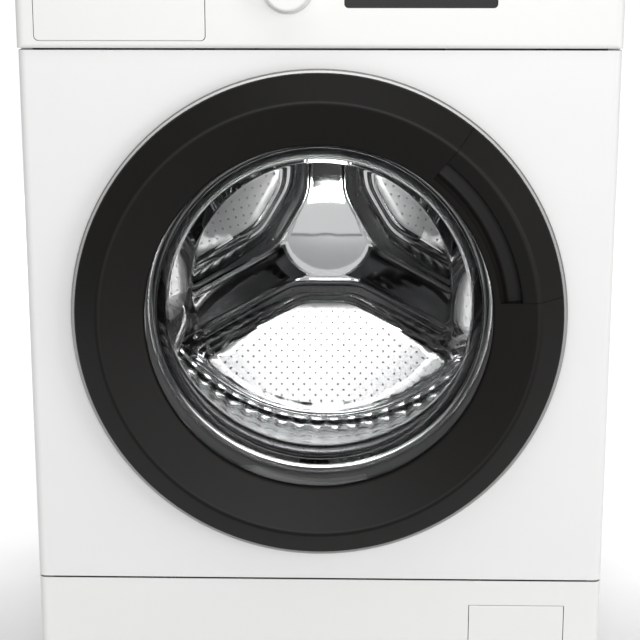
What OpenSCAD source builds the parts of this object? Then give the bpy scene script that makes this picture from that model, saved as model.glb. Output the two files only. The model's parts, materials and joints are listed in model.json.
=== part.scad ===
// Front load washing machine, free standing, built up from its separate pieces.
// Millimetres. +Z is up and the door faces -Y.
// The origin is on the floor, under the middle of the overall box.

/* [Cabinet] */
// Width over the side panels
cabinet_width = 598; // [596:1:620]
// Height from the floor to the top of the worktop
overall_height = 845; // [843:1:880]
// Depth from the outer face of the front panel to the outer face of the rear panel
body_depth = 550; // [550:1:600]
// Thickness of the cabinet's steel sheet
sheet = 1.2; // [0.8:0.1:1.6]
// Thickness of the worktop board
worktop_thickness = 25; // [20:1:27]
// Height of the control fascia, between the front panel and the worktop
fascia_height = 120; // [112:1:122]
// How far the fascia stands in front of the front panel
fascia_reach = 6; // [4:1:10]
// Height of the seam between the kick panel and the front panel
kick_height = 144; // [140:1:148]
// Visible gap between the front panels
panel_gap = 2; // [1:0.5:3]
// Radius of the rounded upright edges of the front
edge_radius = 8; // [5:1:12]
// Height of the levelling feet under the base tray
foot_height = 15; // [13:1:18]
// Radius of a foot's rubber pad
foot_radius = 21; // [16:1:24]
// How far the hose connections stand out behind the rear panel
rear_reach = 10; // [9:1:16]

/* [Door] */
// Height of the door's axis above the floor
door_height = 430; // [424:1:436]
// How far the door's crest stands in front of the front panel
door_reach = 40; // [39:0.5:42]
// Outer radius of the black door ring
ring_radius = 248; // [247:0.5:248.5]
// Radius of the crest between the ring's outer bevel and its inner slope
crest_radius = 223; // [221:1:225]
// Radius of the ring's inner edge, where the glass shows
view_radius = 177; // [176:0.5:178]
// Wall of the ring's plastic shell
ring_wall = 3; // [2.5:0.1:3.2]
// How far the silver trim ring shows outside the black ring
trim_step = 4; // [2:0.5:4.5]
// Thickness of the glass bowl
glass_thickness = 4.5; // [3.5:0.5:5.5]
// Depth of the glass bowl's rear face behind the front panel, on the door's axis
bowl_depth = 125; // [100:1:125]
// Outer radius of the bowl where it passes the seal
bowl_radius = 163; // [161:0.5:163]
// Outer radius of the bowl at its rear face, level with the door's axis
bowl_rear_radius = 141; // [134:1:142]
// Slant of the bowl's rear face, deeper at the bottom
bowl_slant = 11; // [0:1:12]
// Angle of the lower end of the handle above the horizontal
handle_start = 6; // [4:1:8]
// Angle that the handle covers round the ring
handle_sweep = 46; // [42:1:48]
// Radius of the handle's inner edge
handle_inner = 205; // [202:1:208]

/* [Door hinge] */
// Distance of the hinge pin from the door's axis
hinge_offset = 240; // [239.5:0.5:240.5]
// Distance of the hinge pin in front of the front panel
hinge_reach = 15.5; // [15.3:0.1:15.7]
// Radius of the hinge pin
hinge_pin_radius = 2.5; // [2:0.1:2.8]

/* [Drum and tub] */
// Inner radius of the drum
drum_radius = 243; // [238:1:244]
// Thickness of the drum's steel
drum_sheet = 1; // [0.8:0.1:1.2]
// Depth behind the front panel of the drum's front face
drum_front_depth = 86; // [84:1:90]
// Depth behind the front panel of the raised arms of the drum's back
drum_back_depth = 408; // [400:1:410]
// Depth of the three pressed fields of the drum's back
field_depth = 20; // [14:1:21]
// Radius of the drum's loading opening
drum_mouth_radius = 174; // [172:0.5:176]
// Height of a lifter above the drum wall
lifter_height = 46; // [36:1:50]
// Inner radius of the tub
tub_radius = 256; // [254:0.5:258]
// Wall of the plastic tub
tub_wall = 3.5; // [3:0.5:4]
// Height of the drum's axis above the door's axis
drum_rise = 8; // [4:1:9]
// Radius of the drum shaft
shaft_radius = 12.5; // [10:0.5:15]
// Radius of the drum pulley
pulley_radius = 145; // [130:1:150]
// Radius of the motor pulley
motor_pulley_radius = 10; // [8:0.5:12]
// Radius of the motor's housing
motor_radius = 55; // [50:1:56]

/* [Controls] */
// Radius of the programme knob
knob_radius = 23; // [18:1:26]
// Radius of a round button
button_radius = 9; // [7:0.5:10]
// How far a button can be pressed in
button_travel = 2.5; // [1.5:0.5:3]
// Width of the detergent drawer's front
drawer_width = 170; // [150:1:176]
// Height of the detergent drawer's front
drawer_height = 80; // [74:1:84]
// Length of the detergent drawer behind its front
drawer_length = 215; // [190:1:220]
// Width of the service flap in the kick panel
flap_width = 100; // [90:1:104]
// Height of the service flap in the kick panel
flap_height = 78; // [74:1:82]

/* [Clearances] */
// Gap between rigid pieces that meet
fit_gap = 0.3; // [0.2:0.05:0.4]
// Radial play of a pin or shaft in its bore
running_gap = 0.05; // [0.03:0.01:0.08]
// Gap round a drawer, flap or button in its opening
reveal = 0.8; // [0.6:0.1:1]

/* [Hidden] */
$fn = 96;

// Overall layout
half_width = cabinet_width / 2;
front_y = door_reach - (door_reach + body_depth + rear_reach) / 2;
rear_y = front_y + body_depth;
cabinet_top = overall_height - worktop_thickness;
fascia_bottom = cabinet_top - fascia_height;
wrap_depth = 20;
side_front = front_y + wrap_depth + fit_gap;
side_rear = rear_y - sheet;
tray_thickness = 2;
tray_top = foot_height + tray_thickness;
screw_radius = 2;
screw_head_radius = 4.5;

// Door, as radius and as height in front of the front panel
door_gap = 3.5;
frame_top = 9;
trim_inner = 236;
trim_radius = ring_radius + trim_step;
skirt_bottom = 13;
rim_round = 4;
rim_height = door_reach / 2 - 1.5;
crest_round = 6;
bevel_tilt = 55;
slope_tilt = 113;
lip_round = 4;
glass_top = 13.6;
flange_radius = 192;
neck_depth = 20;
scoop_floor = 16;
scoop_radius = 190;
handle_mid = handle_start + handle_sweep / 2;
handle_gap = 0.35;
handle_pivot = 236;
handle_pivot_height = 19;
handle_pin_radius = 1.6;
hook_pivot = 222;
hook_pivot_height = 8;
hook_pin_radius = 2;
hook_reach = 20;

// Door hinge, measured from the pin
ear_radius = hinge_pin_radius + 1.7;
barrel_half = 20;
ear_inner = 23;
ear_outer = 30;
pocket_half = 33;
pocket_reach = 40.5;
arm_height = hinge_reach + 2.8;
arm_thickness = 3;

// Porthole, gasket and tub neck
port_radius = 191;
collar_depth = 12;
neck_radius = 190;
neck_front = 45;
tub_front_depth = 62;
tub_seam_depth = 250;
tub_rear_depth = drum_back_depth + 50;
seam_flange = 12;
seam_half = 7;
drum_height = door_height + drum_rise;
tub_outer = tub_radius + tub_wall;
drum_outer = drum_radius + drum_sheet;
drum_end = drum_back_depth + field_depth;
hub_radius = 44;
hub_end = tub_rear_depth + tub_wall + 40;
belt_depth = hub_end + 8;
belt_width = 12;
belt_thickness = 3;
motor_x = -120;
motor_drop = sqrt(pow(tub_outer + 15 + motor_radius, 2) - pow(motor_x, 2));
motor_rear = belt_depth - 29.5;
motor_front = motor_rear - 180;
well_half = 45;
well_x = 5;
well_bottom = tub_outer + 26;
well_front = tub_seam_depth + 14;
sump_depth = tub_seam_depth + 80;
damper_x = 200;
damper_depth = tub_seam_depth + 40;
damper_top = drum_height - 190;
spring_x = 250;
spring_depth = tub_seam_depth + 20;
spring_low = drum_height + 165;
spring_high = cabinet_top - 40;
spring_radius = 9;
spring_wire = 1.6;
spring_turns = 8;

// Controls
drawer_left = -half_width + 18;
panel_return = 12;
drawer_bottom = fascia_bottom + 8;
tray_height = drawer_height - 24;
housing_back = drawer_length + 17;
control_mid = fascia_bottom + fascia_height / 2;
knob_x = -30;
knob_reach = 28;
display_left = 25;
display_right = 175;
display_half = 20;
start_x = 215;
power_x = 255;
module_depth = 14;
flap_left = 160;
flap_bottom = foot_height + 22;
flap_sheet = 3;
filter_x = flap_left + flap_width / 2;
filter_z = flap_bottom + flap_height / 2;
filter_radius = 27;

// Points along an arc
function arc(cx, cy, r, a0, a1, steps = 8) = [
  for (i = [0:steps])
    let (a = a0 + (a1 - a0) * i / steps)
      [cx + r * cos(a), cy + r * sin(a)]
];

// Outline of a rectangle with round corners
function rounded(x0, y0, x1, y1, r) = concat(
  arc(x1 - r, y0 + r, r, -90, 0, 5),
  arc(x1 - r, y1 - r, r, 0, 90, 5),
  arc(x0 + r, y1 - r, r, 90, 180, 5),
  arc(x0 + r, y0 + r, r, 180, 270, 5)
);

function unit(v) = v / norm(v);
function left_of(v) = [-v[1], v[0]];

// Sideways step at a path's point that keeps both neighbouring stretches at one distance
function mitre(path, i) =
  let (
    last = len(path) - 1,
    before = unit(path[max(i, 1)] - path[max(i, 1) - 1]),
    after = unit(path[min(i, last - 1) + 1] - path[min(i, last - 1)]),
    m = unit(left_of(before) + left_of(after))
  )
  m / (m * left_of(before));

function shifted(path, d) = [for (i = [0:len(path) - 1]) path[i] + mitre(path, i) * d];
function reversed(path) = [for (i = [len(path) - 1:-1:0]) path[i]];

// A band of one thickness, centred on a path or lying on its left
function ribbon(path, t) = concat(shifted(path, t / 2), reversed(shifted(path, -t / 2)));
function skin(path, t) = concat(path, reversed(shifted(path, t)));

// Points of a cubic curve between two ends with their handles
function curve(p, steps) = [
  for (i = [0:steps])
    let (t = i / steps, s = 1 - t)
      p[0] * s * s * s + 3 * p[1] * s * s * t + 3 * p[2] * s * t * t + p[3] * t * t * t
];

// Path of a hose that leaves both ends straight, along their given directions
function hose(start, out, end, back) =
  let (a = start + 3 * unit(out), b = end + 3 * unit(back))
  concat([start], curve([a, a + out, b + back, b], 16), [end]);

// Door frame of reference: x right, y up, z towards the user, from the front panel's face
module facing() {
  translate([0, front_y, door_height])
    rotate([90, 0, 0])
      children();
}

module drum_facing() {
  translate([0, front_y, drum_height])
    rotate([90, 0, 0])
      children();
}

// An outline in x and z, extruded from one y to another
module along_y(y0, y1) {
  translate([0, y1, 0])
    rotate([90, 0, 0])
      linear_extrude(y1 - y0)
        children();
}

// An outline in y and z, extruded from one x to another
module along_x(x0, x1) {
  translate([x0, 0, 0])
    rotate([90, 0, 90])
      linear_extrude(x1 - x0)
        children();
}

module disc_y(x, z, r, y0, y1) {
  translate([x, y1, z])
    rotate([90, 0, 0])
      cylinder(h = y1 - y0, r = r);
}

module rod_x(y, z, r, x0, x1) {
  translate([x0, y, z])
    rotate([0, 90, 0])
      cylinder(h = x1 - x0, r = r);
}

module block(x0, x1, y0, y1, z0, z1) {
  translate([x0, y0, z0])
    cube([x1 - x0, y1 - y0, z1 - z0]);
}

// A round tube or wire along a list of points in space
module swept(points, r, sides = 8) {
  last = len(points) - 1;
  heading = [for (i = [0:last]) unit(points[min(i + 1, last)] - points[max(i - 1, 0)])];
  // Each ring's sideways direction is the one before it, turned as little as the path allows
  across = [
    for (i = 0, side = unit(cross(heading[0], [0.4, 0.9, 0.1])); i <= last;
       i = i + 1, side = i > last ? side : unit(side - heading[i] * (side * heading[i]))) side
  ];
  rings = [
    for (i = [0:last])
      [for (k = [0:sides - 1])
        points[i] + r * across[i] * cos(360 * k / sides)
          + r * cross(across[i], heading[i]) * sin(360 * k / sides)]
  ];
  faces = concat(
    [[for (k = [0:sides - 1]) k]],
    [[for (k = [sides - 1:-1:0]) last * sides + k]],
    [
      for (i = [0:last - 1], k = [0:sides - 1])
        let (a = i * sides + k, b = i * sides + (k + 1) % sides)
        [a, a + sides, b + sides, b]
    ]
  );
  polyhedron([for (ring = rings, p = ring) p], faces, convexity = 10);
}

// ---- Cabinet ----

module side_panel(hand) {
  edge = half_width - sheet / 2;
  path = [
    [half_width - panel_return, side_front + sheet / 2], [edge, side_front + sheet / 2],
    [edge, side_rear - sheet / 2], [half_width - panel_return, side_rear - sheet / 2]
  ];
  mirror([hand < 0 ? 1 : 0, 0, 0]) {
    difference() {
      union() {
        translate([0, 0, foot_height])
          linear_extrude(cabinet_top - foot_height)
            polygon(ribbon(path, sheet));
        pressed_field(2 * sheet, 0);
      }
      pressed_field(sheet, sheet);
    }
    spring_bracket();
  }
}

// Shallow field pressed into a side panel to stiffen it
module pressed_field(depth, grow) {
  along_x(half_width - depth, half_width + grow)
    polygon(rounded(side_front + 90 + sheet - depth, foot_height + 90 + sheet - depth,
            side_rear - 90 - sheet + depth, cabinet_top - 130 - sheet + depth, 40));
}

// Bracket at the top of a side panel that a suspension spring hangs from
module spring_bracket() {
  y = front_y + spring_depth;
  inner = spring_x - 16;
  block(inner, half_width - sheet, y - 16, y + 16, spring_high + fit_gap, spring_high + 4);
  along_y(y - 16, y - 13)
    polygon([[inner, spring_high + 4], [half_width - sheet, spring_high + 4],
         [half_width - sheet, spring_high + 34]]);
}

module left_side_panel() {
  color("white") side_panel(-1);
}

module right_side_panel() {
  color("white") side_panel(1);
}

cover_left = -205;
cover_right = 205;
cover_low = 175;
cover_high = 650;
rear_half = half_width - 0.5;

function cover_screws() = [
  for (x = [cover_left + 9, 0, cover_right - 9], z = [cover_low + 9, cover_high - 9]) [x, z]
];
function rear_screws() = [
  for (x = [-half_width + 10, half_width - 10], z = [foot_height + 60, 420, cabinet_top - 60]) [x, z]
];
transit_x = 240;
transit_low = 260;
transit_high = 600;
transit_radius = 7;
inlet_x = -215;
inlet_z = cabinet_top - 60;
inlet_radius = 13.2;
drain_x = 215;
drain_z = cabinet_top - 90;
drain_radius = 10;
gland_x = 215;
gland_z = cabinet_top - 40;

module rear_panel() {
  color("gainsboro") difference() {
    union() {
      along_y(side_rear, rear_y)
        polygon(rounded(-rear_half, foot_height, rear_half, cabinet_top, 4));
      disc_y(gland_x, gland_z, 11, rear_y - sheet, rear_y + 6);
    }
    along_y(side_rear - 1, rear_y + 1)
      polygon(rounded(cover_left + 18, cover_low + 18, cover_right - 18, cover_high - 18, 20));
    for (p = concat(cover_screws(), rear_screws()))
      disc_y(p[0], p[1], screw_radius, side_rear - 1, rear_y + 1);
    for (x = [-transit_x, transit_x], z = [transit_low, transit_high])
      disc_y(x, z, transit_radius, side_rear - 1, rear_y + 1);
    disc_y(inlet_x, inlet_z, inlet_radius + fit_gap, side_rear - 1, rear_y + 1);
    disc_y(drain_x, drain_z, drain_radius + fit_gap, side_rear - 1, rear_y + 1);
    disc_y(gland_x, gland_z, 4, side_rear - 1, rear_y + 7);
    for (i = [0:7])
      block(-150, -60, side_rear - 1, rear_y + 1, 690 + 12 * i, 695 + 12 * i);
  }
}

// Removable cover over the belt, dished outwards
module rear_access_cover() {
  dish = 5;
  color("gainsboro") difference() {
    union() {
      along_y(rear_y, rear_y + sheet)
        polygon(rounded(cover_left, cover_low, cover_right, cover_high, 16));
      along_y(rear_y, rear_y + sheet + dish)
        polygon(rounded(cover_left + 24, cover_low + 24, cover_right - 24, cover_high - 24, 24));
    }
    along_y(rear_y - 1, rear_y + dish)
      polygon(rounded(cover_left + 26, cover_low + 26, cover_right - 26, cover_high - 26, 22));
    for (p = cover_screws())
      disc_y(p[0], p[1], screw_radius, rear_y - 1, rear_y + 8);
  }
}

module screw_y(x, z, seat, hand) {
  disc_y(x, z, screw_head_radius, min(seat, seat + hand * 2.5), max(seat, seat + hand * 2.5));
  disc_y(x, z, screw_radius - 0.05, min(seat, seat - hand * 7), max(seat, seat - hand * 7));
}

module cabinet_screws() {
  color("silver") {
    for (p = cover_screws())
      screw_y(p[0], p[1], rear_y + sheet, 1);
    for (p = rear_screws())
      difference() {
        screw_y(p[0], p[1], rear_y, 1);
        disc_y(p[0], p[1], 5, side_rear - 20, side_rear);
      }
  }
}

tray_x = half_width - sheet - fit_gap;
tray_front = side_front + 22;
foot_x = 262;
foot_front = front_y + 60;
foot_rear = rear_y - 45;
foot_stud = 4;
tray_rim = 24;

module base_tray() {
  tray_rear = side_rear - sheet - fit_gap;
  color("gainsboro") {
    difference() {
      union() {
        block(-tray_x, tray_x, tray_front, tray_rear, foot_height, foot_height + tray_rim);
        block(-half_width + 19, half_width - 19, front_y + 3, tray_front, foot_height, tray_top);
      }
      block(-tray_x + 2, tray_x - 2, tray_front + 2, tray_rear - 2, tray_top, foot_height + tray_rim + 1);
      for (x = [-foot_x, foot_x], y = [foot_front, foot_rear])
        translate([x, y, foot_height - 1])
          cylinder(h = 10, r = foot_stud + fit_gap);
      for (x = [-150:50:150])
        block(x - 12, x + 12, 110, 200, foot_height - 1, tray_top + 1);
    }
    for (x = [-damper_x, damper_x])
      damper_stand(x, tray_top);
  }
}

// Upright fork of the base tray that holds the foot of a damper
module damper_stand(x, z) {
  y = front_y + damper_depth;
  for (side = [-1, 1])
    block(x + side * 10.3 - 2, x + side * 10.3 + 2, y - 15, y + 15, z, z + 34);
  rod_x(y, z + 22, 4, x - 12.3, x + 12.3);
}

module worktop() {
  front = front_y - fascia_reach + 1;
  back = rear_y - 2;
  color("white") difference() {
    along_x(-half_width, half_width)
      polygon(concat(
        arc(front + 5, cabinet_top + 5, 5, 270, 180, 5),
        arc(front + 7, overall_height - 7, 7, 180, 90, 6),
        arc(back - 4, overall_height - 4, 4, 90, 0, 4),
        [[back, cabinet_top]]
      ));
    corner_cut(front, cabinet_top - 1, overall_height + 1);
  }
}

// Takes the two front corners off a flat or hollow piece
module corner_cut(front, low, high) {
  r = edge_radius;
  for (hand = [0, 1])
    mirror([hand, 0, 0])
      translate([0, 0, low])
        linear_extrude(high - low)
          polygon(concat([[half_width + 1, front - 1]], [[half_width - r, front - 1]],
                  arc(half_width - r, front + r, r, 270, 360, 6), [[half_width + 1, front + r]]));
}

// Front sheet that wraps round both upright edges
module front_wrap(low, high) {
  r = edge_radius - sheet / 2;
  x = half_width - edge_radius;
  y = front_y + edge_radius;
  path = concat(
    [[-half_width + sheet / 2, front_y + wrap_depth]],
    arc(-x, y, r, 180, 270, 6),
    arc(x, y, r, 270, 360, 6),
    [[half_width - sheet / 2, front_y + wrap_depth]]
  );
  translate([0, 0, low])
    linear_extrude(high - low)
      polygon(ribbon(path, sheet));
}

module front_panel() {
  color("white") difference() {
    union() {
      front_wrap(kick_height + panel_gap / 2, fascia_bottom - panel_gap / 2);
      facing()
        translate([0, 0, -collar_depth])
          cylinder(h = collar_depth, r = port_radius + sheet);
    }
    facing() {
      translate([0, 0, -collar_depth - 1])
        cylinder(h = collar_depth + 2, r = port_radius);
      rotate([0, 0, handle_mid])
        translate([hook_pivot - 16, -9, -5])
          cube([34, 18, 10]);
    }
    hinge_screw_places(screw_radius);
  }
}

// Three-compartment drawer, its housing and the fascia share these places
module drawer_opening(grow, y0, y1) {
  along_y(y0, y1)
    polygon(rounded(drawer_left - grow, drawer_bottom - grow, drawer_left + drawer_width + grow,
            drawer_bottom + drawer_height + grow, 5 + grow));
}

module fascia_panel() {
  face = front_y - fascia_reach;
  low = fascia_bottom + panel_gap / 2;
  wall = 2.5;
  color("white") difference() {
    along_x(-half_width, half_width)
      polygon(concat([[front_y + wrap_depth, low]], arc(face + 4, low + 4, 4, 270, 180, 5),
              arc(face + 3, cabinet_top - 3, 3, 180, 90, 5), [[front_y + wrap_depth, cabinet_top]]));
    along_x(-half_width + wall, half_width - wall)
      polygon([[front_y + wrap_depth + 1, low + wall], [face + wall, low + wall],
           [face + wall, cabinet_top - wall], [front_y + wrap_depth + 1, cabinet_top - wall]]);
    corner_cut(face, low - 1, cabinet_top + 1);
    drawer_opening(0, face - 1, face + 6);
    along_y(face - 1, face + 6)
      polygon(rounded(display_left, control_mid - display_half, display_right,
              control_mid + display_half, 4));
    disc_y(knob_x, control_mid, 6, face - 1, face + 6);
    for (x = [start_x, power_x])
      disc_y(x, control_mid, button_radius + reveal, face - 1, face + 6);
  }
  // Raised ring round the knob's place
  color("white") disc_ring(knob_x, control_mid, knob_radius + 6, knob_radius + 3, face - 1.5, face);
}

module disc_ring(x, z, outer, inner, y0, y1) {
  difference() {
    disc_y(x, z, outer, y0, y1);
    disc_y(x, z, inner, y0 - 1, y1 + 1);
  }
}

module kick_panel() {
  low = foot_height + 3;
  high = kick_height - panel_gap / 2;
  pin_z = flap_bottom + 4;
  pin_y = front_y + 4;
  color("white") {
    difference() {
      front_wrap(low, high);
      along_y(front_y - 1, front_y + 4)
        polygon(rounded(flap_left - reveal, flap_bottom - reveal, flap_left + flap_width + reveal,
                flap_bottom + flap_height + reveal, 1));
    }
    // Ears that the flap's two pins turn in
    for (side = [0, 1])
      translate([side == 0 ? flap_left - reveal - 4 : flap_left + flap_width + reveal, 0, 0])
        difference() {
          block(0, 4, front_y + sheet / 2, pin_y + 4, pin_z - 4, pin_z + 4);
          rod_x(pin_y, pin_z, 1.5 + running_gap, -1, 5);
        }
  }
}

module levelling_feet() {
  color("dimgray")
    for (x = [-foot_x, foot_x], y = [foot_front, foot_rear])
      translate([x, y, 0]) {
        rotate_extrude()
          polygon(concat([[0, 0], [foot_radius - 1, 0]], arc(foot_radius - 2, 3, 2, -45, 80, 4),
                  [[9, 7.5], [foot_stud, foot_height - 5], [0, foot_height - 5]]));
        translate([0, 0, foot_height - 6])
          cylinder(h = 22, r = foot_stud);
        translate([0, 0, foot_height - 5])
          cylinder(h = 5, r = 9, $fn = 6);
      }
}

module dispenser_housing() {
  inner_left = drawer_left;
  inner_right = drawer_left + drawer_width;
  floor_z = drawer_bottom + reveal - fit_gap;
  top_z = drawer_bottom + drawer_height;
  wall = 2;
  back = front_y + housing_back;
  color("whitesmoke") difference() {
    union() {
      block(inner_left - wall, inner_right + wall, front_y - fascia_reach + 2.5, back + wall, floor_z - wall,
         top_z + wall);
      // Fall pipe to the tub
      translate([inner_right - 22, back - 22, floor_z - 16])
        cylinder(h = 15, r = 13);
    }
    block(inner_left, inner_right, front_y - fascia_reach - 1, back, floor_z, top_z);
    translate([inner_right - 22, back - 22, floor_z - 17])
      cylinder(h = 20, r = 11);
    disc_y(drawer_left + 60, top_z - 14, 6, back - 1, back + wall + 1);
  }
}

module inlet_valve() {
  color("white") difference() {
    union() {
      disc_y(inlet_x, inlet_z, inlet_radius, rear_y + 1, rear_y + rear_reach);
      disc_y(inlet_x, inlet_z, inlet_radius - 1.2, rear_y - 30, rear_y + 2);
      disc_y(inlet_x, inlet_z, inlet_radius + 4, side_rear - 6, side_rear);
      disc_y(inlet_x, inlet_z, 6, rear_y - 60, rear_y - 30);
      translate([inlet_x, rear_y - 22, inlet_z])
        cylinder(h = 34, r = 11);
    }
    disc_y(inlet_x, inlet_z, inlet_radius - 3, rear_y - 12, rear_y + rear_reach + 1);
  }
}

module inlet_hose() {
  start = [inlet_x, rear_y - 60 - fit_gap, inlet_z];
  end = [drawer_left + 60, front_y + housing_back + 2 + fit_gap, drawer_bottom + drawer_height - 16];
  color("dimgray")
    swept(hose(start, [0, -70, 0], end, [0, 70, 0]), 7);
}

module drain_connector() {
  color("dimgray") difference() {
    union() {
      disc_y(drain_x, drain_z, drain_radius, rear_y + 1, rear_y + rear_reach);
      disc_y(drain_x, drain_z, drain_radius - 0.8, side_rear - 40, rear_y + 2);
      disc_y(drain_x, drain_z, drain_radius + 5, side_rear - 4, side_rear);
    }
    disc_y(drain_x, drain_z, drain_radius - 2.5, side_rear - 41, rear_y + rear_reach + 1);
  }
}

module control_module() {
  y0 = front_y + module_depth;
  color("dimgray") difference() {
    union() {
      block(knob_x - 30, half_width - 14, y0, y0 + 30, control_mid - 40, control_mid + 44);
      block(display_left + 4, display_right - 4, front_y - fascia_reach + 5.8, y0, control_mid - 16,
         control_mid + 16);
      for (x = [knob_x - 26, half_width - 34])
        block(x, x + 12, front_y - fascia_reach + 2.5, y0, control_mid + 26, control_mid + 36);
    }
    disc_y(knob_x, control_mid, 3 + running_gap, y0 - 1, y0 + 14);
  }
}

module display_window() {
  face = front_y - fascia_reach;
  color("black") {
    along_y(face + 0.4, face + 2.5)
      polygon(rounded(display_left + 0.2, control_mid - display_half + 0.2, display_right - 0.2,
              control_mid + display_half - 0.2, 3.8));
    along_y(face + 2.5, face + 5.5)
      polygon(rounded(display_left - 4, control_mid - display_half - 4, display_right + 4,
              control_mid + display_half + 4, 4));
  }
}

// ---- Door lock, hinge, gasket ----

// The striker's mouth is wide enough for the hook to pass at rest
module door_lock() {
  color("dimgray") facing()
    rotate([0, 0, handle_mid])
      difference() {
        translate([hook_pivot - 20, -14, -46])
          cube([46, 28, 46 - sheet]);
        translate([hook_pivot - 15, -8, -30])
          cube([32, 16, 30]);
      }
}

module hinge_screw_places(r) {
  facing()
    for (x = [26, 54], y = [-36, 36])
      translate([-hinge_offset + x, y, -8])
        cylinder(h = 14, r = r);
}

// Fixed half of the door hinge: a plate on the front panel, an upright leg and two ears to the pin
module hinge_bracket() {
  pin = hinge_reach;
  ear = [
    [18, -pin], [35, -pin], [35, -4], [26, ear_radius], [0, ear_radius], [0, -1], [4, -0.6], [18, -2.5]
  ];
  color("silver") difference() {
    facing() {
      translate([-hinge_offset + 16, -42, 0])
        cube([48, 84, 3]);
      translate([-hinge_offset + 18, -ear_outer, 0])
        cube([17, 2 * ear_outer, pin - 4]);
      translate([-hinge_offset, 0, pin])
        for (low = [-ear_outer, ear_inner])
          translate([0, low, 0])
            rotate([-90, 0, 0])
              linear_extrude(ear_outer - ear_inner) {
                polygon([for (p = ear) [p[0], -p[1]]]);
                circle(r = ear_radius);
              }
    }
    facing()
      translate([-hinge_offset, -ear_outer - 1, pin])
        rotate([-90, 0, 0])
          cylinder(h = 2 * ear_outer + 2, r = hinge_pin_radius + 0.02);
    hinge_screw_places(screw_radius + 0.2);
  }
}

module hinge_pin() {
  color("silver") facing()
    translate([-hinge_offset, -ear_outer - 1, hinge_reach])
      rotate([-90, 0, 0])
        cylinder(h = 2 * ear_outer + 2, r = hinge_pin_radius);
}

// Bellows from the front panel's collar to the tub's neck, with the lip that the glass closes on
module door_gasket() {
  lip = bowl_radius + fit_gap + 1.3;
  outer = port_radius + sheet + fit_gap;
  neck = neck_radius + tub_wall + fit_gap;
  fold = [
    [lip, -neck_depth - 1], [lip + 8, -neck_depth + 3], [port_radius - 9, -neck_depth + 3],
    [port_radius - 3, -neck_depth + 1], [port_radius - 5, -neck_depth - 8],
    [port_radius - 14, -neck_depth - 14], [port_radius - 14, -neck_depth - 20],
    [neck_radius - 4, -neck_front + 3.5], [neck + 2, -neck_front + 3.5]
  ];
  color("gray") facing() {
    rotate_extrude()
      polygon(ribbon(fold, 2.6));
    rotate_extrude()
      polygon([[port_radius - 4, -collar_depth - fit_gap], [port_radius - 4, -neck_depth + 0.5],
           [outer + 5, -neck_depth + 3], [outer + 6, -2], [outer, -2], [outer, -collar_depth - fit_gap]]);
    rotate_extrude()
      polygon([[neck, -neck_front + 4], [neck + 5, -neck_front + 4], [neck + 6, -tub_front_depth + 3],
           [neck, -tub_front_depth + 3]]);
  }
}

// ---- Pump and hoses ----

module drain_pump() {
  front = front_y + 14;
  color("dimgray") {
    difference() {
      union() {
        disc_y(filter_x, filter_z, filter_radius + 4, front, front + 120);
        disc_y(filter_x, filter_z, 22, front + 120, front + 175);
        block(filter_x - 30, filter_x + 30, front + 36, front + 110, tray_top, filter_z);
        rod_x(front + 70, filter_z, 14, filter_x - 60, filter_x - 20);
      }
      disc_y(filter_x, filter_z, filter_radius, front - 1, front + 70);
    }
  }
}

module sump_hose() {
  start = [well_x, front_y + sump_depth, drum_height - well_bottom - 10 - fit_gap];
  end = [filter_x - 60 - fit_gap, front_y + 84, filter_z];
  color("black")
    swept(hose(start, [0, 0, -50], end, [-80, 0, 0]), 14);
}

fall_x = drawer_left + drawer_width - 22;
fall_y = front_y + housing_back - 22;

module filling_hose() {
  start = [fall_x, fall_y, drawer_bottom + reveal - 16 - 2 * fit_gap];
  drop = sqrt(pow(tub_outer + 6, 2) - pow(fall_x, 2));
  end = [fall_x, fall_y, drum_height + drop + 14 + fit_gap];
  color("black")
    swept(curve([start, start - [0, 0, 2], end + [0, 0, 2], end], 4), 12);
}

damper_y = front_y + damper_depth;
damper_rod_radius = 6;
damper_bore = damper_rod_radius + 0.08;

module damper_rods() {
  color("silver")
    for (x = [-damper_x, damper_x]) {
      translate([x, damper_y, tray_top + 28])
        cylinder(h = damper_top - tray_top - 86, r = damper_rod_radius);
      difference() {
        rod_x(damper_y, tray_top + 22, 9, x - 8, x + 8);
        rod_x(damper_y, tray_top + 22, 4.05, x - 9, x + 9);
      }
    }
}

module damper_cylinders() {
  color("dimgray")
    for (x = [-damper_x, damper_x])
      difference() {
        translate([x, damper_y, damper_top - 130])
          cylinder(h = 130, r = 13);
        translate([x, damper_y, damper_top - 131])
          cylinder(h = 111, r = damper_bore);
      }
}

// One hanging spring with a straight tail at each end
module spring(x) {
  y = front_y + spring_depth;
  low = spring_low + 14;
  high = spring_high - 14;
  steps = spring_turns * 10;
  coil = [
    for (i = [0:steps])
      let (a = 360 * i / 10)
        [x + (spring_radius - spring_wire) * cos(a), y + (spring_radius - spring_wire) * sin(a),
         low + (high - low) * i / steps]
  ];
  top = coil[steps];
  foot = coil[0];
  swept(concat([[x, y, spring_low], [x, y, low - 7], foot - [0, 0, 2]], coil,
         [top + [0, 0, 2], [x, y, high + 7], [x, y, spring_high]]), spring_wire, 6);
}

module suspension_springs() {
  color("silver")
    for (x = [-spring_x, spring_x])
      spring(x);
}

// ---- Tub ----

tub_bolts = 12;

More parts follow.
